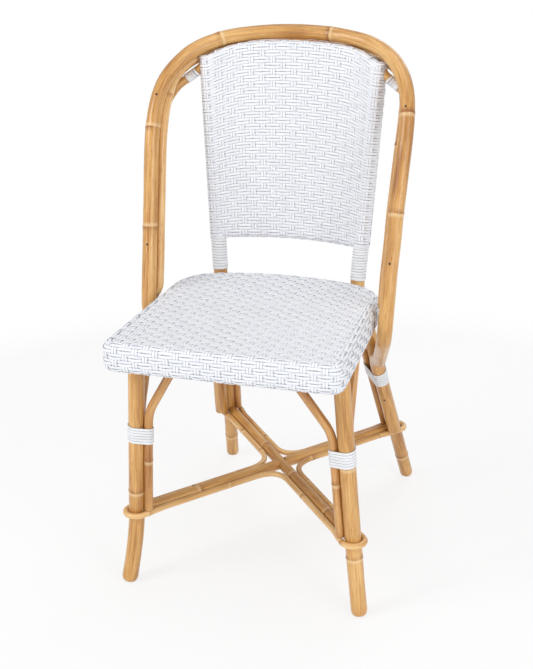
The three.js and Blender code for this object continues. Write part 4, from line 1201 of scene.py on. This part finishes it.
def add_seat_band():
    columns = band_columns()
    keys = np.append(columns, OUTLINE_LENGTH)
    places = np.linspace(0, OUTLINE_LENGTH, int(OUTLINE_LENGTH / ROW_STEP), endpoint=False)
    numbers = np.interp(places, keys, np.arange(len(keys)))
    rows = []
    for row in range(BAND_ROWS + 2):
        surface = skirt_surface(places, np.full_like(places, (row + 0.5) * BAND_PITCH))
        height = -row_height(row // 2, numbers)
        rows.append(row_member(*surface, height, numbers, row_way(row), True))
    woven("seat_skirt_rows", "seat_weave", rows, BAND_PITCH * ROW_COVER, True)
    sides = []
    depth = np.arange(-TUCK, SKIRT_LENGTH + LIP, COLUMN_STEP)
    turn = -depth / (2 * BAND_PITCH)
    for number in range(THROUGH_FRONT + 1, THROUGH_FRONT + 1 + SIDE_COLUMNS):
        height = column_height(number, turn) + tucked(depth)
        for place in (columns[number], OUTLINE_LENGTH - columns[number]):
            sides += column_pair(*skirt_surface(np.full_like(depth, place), depth), height, turn)
    woven("seat_skirt_columns", "seat_weave", sides, COLUMN_WIDTH)


# Woven back: a sheet on each face, joined round the uprights and the rails
BACK_COLUMNS = 17
BACK_SPACING = 8.45
BACK_GROUPS = 34
BACK_ROW_STEP = 0.0023
BACK_COLUMN_STEP = 0.0016
BACK_COLUMN_POINTS = 420
BEND_STEP = 0.002
BACK_COLUMN_SHARES = (np.arange(BACK_COLUMNS) - (BACK_COLUMNS - 1) / 2) / BACK_SPACING
UPRIGHT_SHELL = WOVEN_REACH - WEAVE_THICKNESS / 2
RAIL_SHELL = WOVEN_RAIL_REACH - WEAVE_THICKNESS / 2
BACK_TALL = UPRIGHT_TOP[2] - RAIL_FOOT[2]
RAIL_ARC = RAIL_SHELL * math.pi / 2
RAIL_TURN_SHARE = RAIL_ARC / (BACK_TALL + 2 * RAIL_ARC)


def back_middle(u, v):
    lower = bottom_rail_at(u)
    upper = rail_at_x(u * UPRIGHT_TOP[0])
    return mix(lower, upper, v[..., None])


# Share of the height between the bends at the rails
def flat_share(rise):
    return np.clip((rise - RAIL_TURN_SHARE) / (1 - 2 * RAIL_TURN_SHARE), 0, 1)


# Point and outward normal of the back's shell: x as a share of the half width, height share, face
def back_surface(share, rise, face):
    lower_turn = np.clip(rise / RAIL_TURN_SHARE, 0, 1) * math.pi / 2
    upper_turn = np.clip((1 - rise) / RAIL_TURN_SHARE, 0, 1) * math.pi / 2
    flat = flat_share(rise)
    upward = np.cos(upper_turn) - np.cos(lower_turn)
    depth_v = np.sin(lower_turn) * np.sin(upper_turn)
    post = mix(RAIL_FOOT[0], UPRIGHT_TOP[0], flat)
    x = share * (post + UPRIGHT_SHELL)
    u = np.clip(x / post, -1, 1)
    out = np.clip((np.abs(x) - post) / UPRIGHT_SHELL, 0, 1)
    forward = face * np.sqrt(1 - out**2) * depth_v
    centre = back_middle(u, flat)
    before, after = np.clip(u - BEND_STEP, -1, 1), np.clip(u + BEND_STEP, -1, 1)
    along_u = units(back_middle(after, flat) - back_middle(before, flat))
    along_v = units(back_middle(u, np.ones_like(u)) - back_middle(u, np.zeros_like(u)))
    along_u = square_to(along_u, along_v)
    front = units(np.cross(along_u, along_v))
    half = mix(RAIL_SHELL, UPRIGHT_SHELL, np.abs(u) ** 6)
    side = np.sign(x)[..., None]
    centre = centre + along_u * side * (out * UPRIGHT_SHELL)[..., None]
    centre = centre + along_v * (upward * RAIL_SHELL)[..., None]
    centre = centre + front * (forward * half)[..., None]
    normal = front * forward[..., None] + along_u * side * out[..., None]
    return centre, units(normal + along_v * upward[..., None])


# One row round the back: from the left upright over the front, and back over the rear
def back_row_path(rise):
    turn = np.linspace(0, math.pi / 2, 12)
    post = mix(RAIL_FOOT[0], UPRIGHT_TOP[0], flat_share(rise))
    arc = (post + UPRIGHT_SHELL * np.cos(turn)) / (post + UPRIGHT_SHELL)
    half = np.concatenate([-arc[:-1], np.linspace(-arc[-1], arc[-1], 120), arc[-2::-1]])
    share = np.concatenate([half, half[-2:0:-1]])
    face = np.concatenate([np.ones(len(half)), -np.ones(len(half) - 2)])
    return share, face, len(half)


def closed_up(points):
    return np.vstack([points, points[:1]])


# Even stations round a closed line, with its points and normals there
def round_stations(points, normals, step):
    run = lengths(closed_up(points))
    stations = np.linspace(0, run[-1], int(run[-1] / step), endpoint=False)
    centres = at_table(closed_up(points), run, stations)
    return run, stations, centres, units(at_table(closed_up(normals), run, stations))


def back_row(number):
    rise = (number + 0.5) / (2 * BACK_GROUPS)
    share, face, front_count = back_row_path(rise)
    points, normals = back_surface(share, np.full_like(share, rise), face)
    run, stations, centres, ups = round_stations(points, normals, BACK_ROW_STEP)
    total = run[-1]
    columns = np.arange(BACK_COLUMNS)
    at_front = np.interp(BACK_COLUMN_SHARES, share[:front_count], run[:front_count])
    rear_share = np.append(share[front_count - 1:], share[0])
    at_rear = np.interp(-BACK_COLUMN_SHARES, -rear_share, run[front_count - 1:])
    keys = np.concatenate([at_front, at_rear])
    order = np.concatenate([columns, 2 * BACK_COLUMNS - 1 - columns])
    rank = np.argsort(keys)
    keys, order = keys[rank], order[rank]
    keys = np.concatenate([[keys[-1] - total], keys, [keys[0] + total]])
    order = np.concatenate([[-1], order, [2 * BACK_COLUMNS]])
    place = np.interp(stations, keys, order)
    height = row_height(number // 2, place)
    middle, side, up = row_member(centres, ups, height, place, -row_way(number), True)
    half_row = 0.25 / BACK_GROUPS
    above = back_surface(share, np.full_like(share, min(rise + half_row, 1)), face)[0]
    below = back_surface(share, np.full_like(share, max(rise - half_row, 0)), face)[0]
    pitch = np.linalg.norm(above - below, axis=1)
    pitch = np.interp(stations, run, np.append(pitch, pitch[0]))
    return [middle, side * row_spread(pitch), up]


def back_column(number):
    rise = np.linspace(0, 1, BACK_COLUMN_POINTS)
    loop = np.concatenate([rise, rise[-2:0:-1]])
    face = np.where(np.arange(len(loop)) < BACK_COLUMN_POINTS, 1.0, -1.0)
    share = np.full_like(loop, BACK_COLUMN_SHARES[number])
    points, normals = back_surface(share, loop, face)
    run, stations, centres, ups = round_stations(points, normals, BACK_COLUMN_STEP)
    turned = np.concatenate([rise, 2 - rise[-2:0:-1], [2]])
    groups = np.interp(stations, run, turned * BACK_GROUPS)
    return column_pair(centres, ups, column_height(number, groups), groups, True)


def add_back():
    columns = []
    for number in range(BACK_COLUMNS):
        columns += back_column(number)
    woven("back_columns", "back_weave", columns, COLUMN_WIDTH, True)
    rows = [back_row(number) for number in range(2 * BACK_GROUPS)]
    for name, part in (("lower", rows[:BACK_GROUPS]), ("upper", rows[BACK_GROUPS:])):
        woven("back_rows_" + name, "back_weave", part, ROW_WIDTH, True)


# Outline round a set of circles (x, y, radius), counter-clockwise, at a distance from them
def hull_outline(circles, distance):
    switches = []
    for (x, y, radius), (nx, ny, near) in zip(circles, circles[1:] + circles[:1]):
        span = math.hypot(nx - x, ny - y)
        slope = math.atan2(ny - y, nx - x)
        switches.append(slope - math.acos((radius - near) / span) if span else 0.0)
    points, outward = [], []
    for i, (x, y, radius) in enumerate(circles):
        start, end = switches[i - 1], switches[i]
        while end <= start:
            end += 2 * math.pi
        turns = np.linspace(start, end, 25)
        ring = np.stack([np.cos(turns), np.sin(turns)], axis=1)
        points.append(ring * (radius + distance) + (x, y))
        outward.append(ring)
    return np.vstack(points), np.vstack(outward)


# Winding of peel: how far its ends and its level turns slope, and its small unevenness
PEEL_WIDTH = WRAP_PITCH * 0.972
PEEL_STEP = 0.0015
END_SLOPE = 0.008
END_SINK = 0.0006
LEVEL_SLOPE = 0.006
LEVEL_LIFT = 0.0005
UNEVEN = 0.00012
UNEVEN_RATE = 97
RAIL_WRAP_TURNS = 4
RAIL_WRAP_LEAD = 1.5
UPRIGHT_LEVEL_TURN = 0.95


def winding(node, circles, place_at, turns, level_turn=0.0, lead=0.0):
    points, outward = hull_outline(circles, GAP + STRIP_THICKNESS / 2)
    steps = np.linalg.norm(np.diff(closed_up(points), axis=0), axis=1) + 1e-9
    run = np.concatenate([[0], np.cumsum(steps)])
    total = run[-1]
    s = np.arange(-(lead + level_turn) * total, (turns + level_turn) * total, PEEL_STEP)
    flat = at_table(closed_up(points), run, s % total)
    normal = units(at_table(closed_up(outward), run, s % total))
    ends = np.clip(np.minimum(s - s[0], s[-1] - s) / END_SLOPE, 0, 1)
    level = np.clip(np.maximum(-lead * total - s, s - turns * total) / LEVEL_SLOPE, 0, 1)
    flat = flat - normal * (END_SINK * (1 - ends) - LEVEL_LIFT * level)[:, None]
    rise = WRAP_PITCH * np.clip(s / total, -lead, turns) + STRIP_WIDTH / 2
    rise = rise + UNEVEN * np.sin(s * UNEVEN_RATE) * ends
    strands = [strand(*place_at(flat, normal, rise))]
    strand_set(node + "_peel", node, strands, PEEL_WIDTH, STRIP_THICKNESS, PEEL)


def on_pole(origin, axes, side):
    inner, front, axis = axes

    def place(flat, normal, rise):
        centres = origin + flat[:, :1] * inner + flat[:, 1:] * front + rise[:, None] * axis
        normals = normal[:, :1] * inner + normal[:, 1:] * front
        return on_side(centres, side), on_side(normals, side)

    return place


def on_rail(side):
    run = lengths(TOP_RAIL_LINE)
    start_x = UPRIGHT_TOP[0] + WOVEN_REACH + RAIL_RADIUS * 0.85
    half = len(TOP_RAIL_LINE) // 2
    start = np.interp(-start_x, -TOP_RAIL_LINE[:half, 0], run[:half])

    def place(flat, normal, rise):
        s = start - rise
        points = at_table(TOP_RAIL_LINE, run, s)
        runs = units(at_table(tangents(TOP_RAIL_LINE), run, s))
        middles = np.stack([0 * s, points[:, 1], 0 * s + high(0.5)], axis=1)
        inward = square_to(middles - points, runs)
        rearward = np.cross(runs, inward)
        centres = points + inward * flat[:, :1] + rearward * flat[:, 1:]
        normals = inward * normal[:, :1] + rearward * normal[:, 1:]
        return on_side(centres, side), on_side(normals, side)

    return place


def add_windings():
    tail_x = -math.sqrt(1 - TAIL_FRONT_SHARE**2) * TAIL_OFFSET
    front_circles = [
        (0, -FRONT_BRACE_OFFSET, BRACE_RADIUS),
        (FRONT_BRACE_OFFSET, 0, BRACE_RADIUS),
        (0, 0, LEG_RADIUS),
    ]
    rear_circles = [
        (0, 0, REAR_LEG_RADIUS),
        (REAR_BRACE_OFFSET, 0, REAR_BRACE_RADIUS),
        (tail_x, TAIL_FRONT_SHARE * TAIL_OFFSET, HOOP_RADIUS),
    ]
    front_origin = line_at(*FRONT_LEG, BINDING_LOW)
    rear_origin = line_at(*REAR_LEG, BINDING_LOW)
    foot = REAR_BEND + UPRIGHT_AXIS * (UPRIGHT_BEND + 2 * GAP)
    span = (RAIL_FOOT[2] - WOVEN_RAIL_REACH - GAP - foot[2]) / UPRIGHT_AXIS[2]
    span = span - REAR_LEG_RADIUS * 0.1
    turns = math.floor((span - STRIP_WIDTH) / WRAP_PITCH)
    foot = foot + UPRIGHT_AXIS * (span - STRIP_WIDTH - turns * WRAP_PITCH)
    upright_circles = [(0, 0, REAR_LEG_RADIUS)]
    rail_circles = [(0, 0, RAIL_RADIUS)]
    for side in SIDES:
        name = side_name(side)
        place = on_pole(front_origin, FRONT_AXES, side)
        winding("front_leg_binding_" + name, front_circles, place, BINDING_TURNS)
        place = on_pole(rear_origin, REAR_AXES, side)
        winding("rear_leg_binding_" + name, rear_circles, place, BINDING_TURNS)
        place = on_pole(foot, leg_axes(UPRIGHT_AXIS), side)
        winding("upright_wrap_" + name, upright_circles, place, turns + 2, UPRIGHT_LEVEL_TURN)
        place = on_rail(side)
        winding("top_rail_wrap_" + name, rail_circles, place, RAIL_WRAP_TURNS, 0.0, RAIL_WRAP_LEAD)


# Round nail head with a flat rim, set on the hoop: shares of its radius and height
NAIL_PROFILE = [(1.0, 0.0), (1.02, 0.18), (0.86, 0.52), (0.55, 0.85), (0.25, 0.98)]
NAIL_SIDES = 20
NAIL_SINK = NAIL_HEIGHT * 0.1


def nail_faces():
    faces = []
    rings = len(NAIL_PROFILE)
    top = 1 + (rings - 1) * NAIL_SIDES
    for i in range(NAIL_SIDES):
        j = (i + 1) % NAIL_SIDES
        faces.append([0, 1 + j, 1 + i])
        for a in range(1, top, NAIL_SIDES):
            b = a + NAIL_SIDES
            faces.append([a + i, a + j, b + j, b + i])
        faces.append([top + i, top + j, top + NAIL_SIDES])
    return faces


def add_nails():
    turns = 2 * math.pi * np.arange(NAIL_SIDES)[:, None] / NAIL_SIDES
    for number in (1, 2, 3):
        for side in SIDES:
            node = "hoop_nail_" + str(number) + "_" + side_name(side)
            corner_a, corner_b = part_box(node)
            middle = (np.array(corner_a) + np.array(corner_b)) / 2
            index = int(np.argmin(np.linalg.norm(HOOP_LINE - middle, axis=1)))
            run = tangents(HOOP_LINE)[index]
            out = unit(vec(0, -1, 0) + run * run[1])
            base = HOOP_LINE[index] + out * (HOOP_RADIUS - NAIL_SINK)
            first = unit(np.cross(out, run))
            ring = first * np.cos(turns) + np.cross(out, first) * np.sin(turns)
            rows = [[base]]
            for reach, rise in NAIL_PROFILE:
                rows.append(base + ring * NAIL_RADIUS * reach + out * NAIL_HEIGHT * rise)
            rows.append([base + out * NAIL_HEIGHT])
            piece = new_piece(node + "_head", np.vstack(rows), nail_faces(), NAIL)
            finish_piece(piece, "nail", node)


# Studio

WHITE = (1, 1, 1, 1)
FLOOR_HALF = 8.0
FLOOR_NEAR = 0.5
FLOOR_FAR = 1.25
FLOOR_GLOW = 0.76
WORLD_LIGHT = 0.5


# Largest of some outputs of a light path node
def ray_kinds(shader, *kinds):
    rays = shader.node("LightPath", {})
    seen = rays["Is " + kinds[0] + " Ray"]
    for kind in kinds[1:]:
        seen = shader.maths("MAXIMUM", seen, rays["Is " + kind + " Ray"])
    return seen


# White floor, which fades to plain white away from the chair
def add_floor():
    corners = [(-1, -1, 0), (1, -1, 0), (1, 1, 0), (-1, 1, 0)]
    material, shader, surface = new_material("floor_white")
    place = shader.node("TexCoord", {})["Object"]
    length = shader.node("VectorMath", {0: place}, operation="LENGTH")["Value"]
    reach = {"From Min": FLOOR_NEAR, "From Max": FLOOR_FAR, "Value": length}
    fade = shader.node("MapRange", reach, interpolation_type="SMOOTHSTEP")["Result"]
    grain = shader.noise(place, 260.0, 2.0)
    base = shader.ramp(grain, (0.3, (0.89,) * 3), (0.7, (0.91,) * 3))
    shader.fill(surface, {"Base Color": base, "Roughness": 0.85, "Specular IOR Level": 0.1})
    glow = shader.node("Emission", {"Color": WHITE, "Strength": 1.0})["Emission"]
    seen = ray_kinds(shader, "Camera", "Glossy", "Transmission")
    factor = shader.times(shader.maths("MAXIMUM", fade, FLOOR_GLOW), seen)
    mixed = shader.node("MixShader", {0: factor, 1: surface.outputs["BSDF"], 2: glow})["Shader"]
    shader.fill(shader.nodes["Material Output"], {"Surface": mixed})
    vertices = np.array(corners, float) * FLOOR_HALF
    floor = new_piece("floor", vertices, [[0, 1, 2, 3]], material, smooth=False)


def add_world():
    world = bpy.data.worlds.new("studio")
    bpy.context.scene.world = world
    world.use_nodes = True
    shader = Shader(world.node_tree)
    shader.nodes.clear()
    soft = shader.node("Background", {"Color": WHITE, "Strength": WORLD_LIGHT})["Background"]
    white = shader.node("Background", {"Color": WHITE, "Strength": 1.0})["Background"]
    seen = ray_kinds(shader, "Camera", "Transmission")
    mixed = shader.node("MixShader", {0: seen, 1: soft, 2: white})["Shader"]
    shader.node("OutputWorld", {"Surface": mixed})


# Lamps: name, place, width, height and power
LAMPS = [
    ("lamp_key", (-1.9, -1.7, 2.2), 1.2, 1.2, 31.0),
    ("lamp_fill", (2.2, -1.6, 1.5), 1.8, 1.8, 24.0),
    ("lamp_front", (0.3, -3.0, 0.7), 1.6, 1.6, 6.0),
    ("lamp_strip_left", (-1.5, -1.9, 0.9), 0.12, 1.5, 5.0),
    ("lamp_strip_right", (1.9, -1.7, 0.9), 0.12, 1.5, 5.0),
    ("lamp_top", (0.2, 0.1, 3.0), 1.8, 1.8, 13.0),
    ("lamp_back", (0.6, 2.6, 1.9), 1.6, 1.6, 12.0),
]
LAMP_TARGET = Vector((0, 0, 0.4))


def add_lamps():
    for name, place, wide, tall, power in LAMPS:
        data = bpy.data.lights.new(name, "AREA")
        data.shape = "RECTANGLE"
        data.size = wide
        data.size_y = tall
        data.energy = power
        lamp = bpy.data.objects.new(name, data)
        lamp.location = place
        direction = LAMP_TARGET - Vector(place)
        lamp.rotation_euler = direction.to_track_quat("-Z", "Y").to_euler()
        bpy.context.scene.collection.objects.link(lamp)


CAMERA_AZIMUTH = math.radians(16.18)
CAMERA_RISE = math.radians(20.34)
CAMERA_ROLL = math.radians(-0.65)
CAMERA_DISTANCE = 2.2351
CAMERA_TARGET = vec(0, 0.1, 0.4)
CAMERA_LENS = 70.07
CAMERA_SENSOR = 36.0
CAMERA_SHIFT = (-0.0365, -0.0499)


def add_camera():
    level = math.cos(CAMERA_RISE)
    x, y = math.sin(CAMERA_AZIMUTH) * level, -math.cos(CAMERA_AZIMUTH) * level
    away = vec(x, y, math.sin(CAMERA_RISE))
    right = unit(np.cross(-away, UP))
    turned = right * math.cos(CAMERA_ROLL) + np.cross(right, -away) * math.sin(CAMERA_ROLL)
    data = bpy.data.cameras.new("camera")
    data.lens = CAMERA_LENS
    data.sensor_width = CAMERA_SENSOR
    data.shift_x, data.shift_y = CAMERA_SHIFT
    camera = bpy.data.objects.new("camera", data)
    matrix = np.eye(4)
    matrix[:3, 0] = turned
    matrix[:3, 1] = np.cross(turned, -away)
    matrix[:3, 2] = away
    matrix[:3, 3] = CAMERA_TARGET + away * CAMERA_DISTANCE
    camera.matrix_world = Matrix([list(row) for row in matrix])
    bpy.context.scene.collection.objects.link(camera)
    bpy.context.scene.camera = camera


def main():
    add_camera()
    add_legs()
    add_hoops()
    add_stretcher()
    add_braces()
    add_seat_frame()
    add_seat_rows()
    add_seat_columns()
    add_seat_band()
    add_back()
    add_windings()
    add_nails()
    add_floor()
    add_world()
    add_lamps()
    bpy.context.scene.view_settings.view_transform = "Standard"


main()
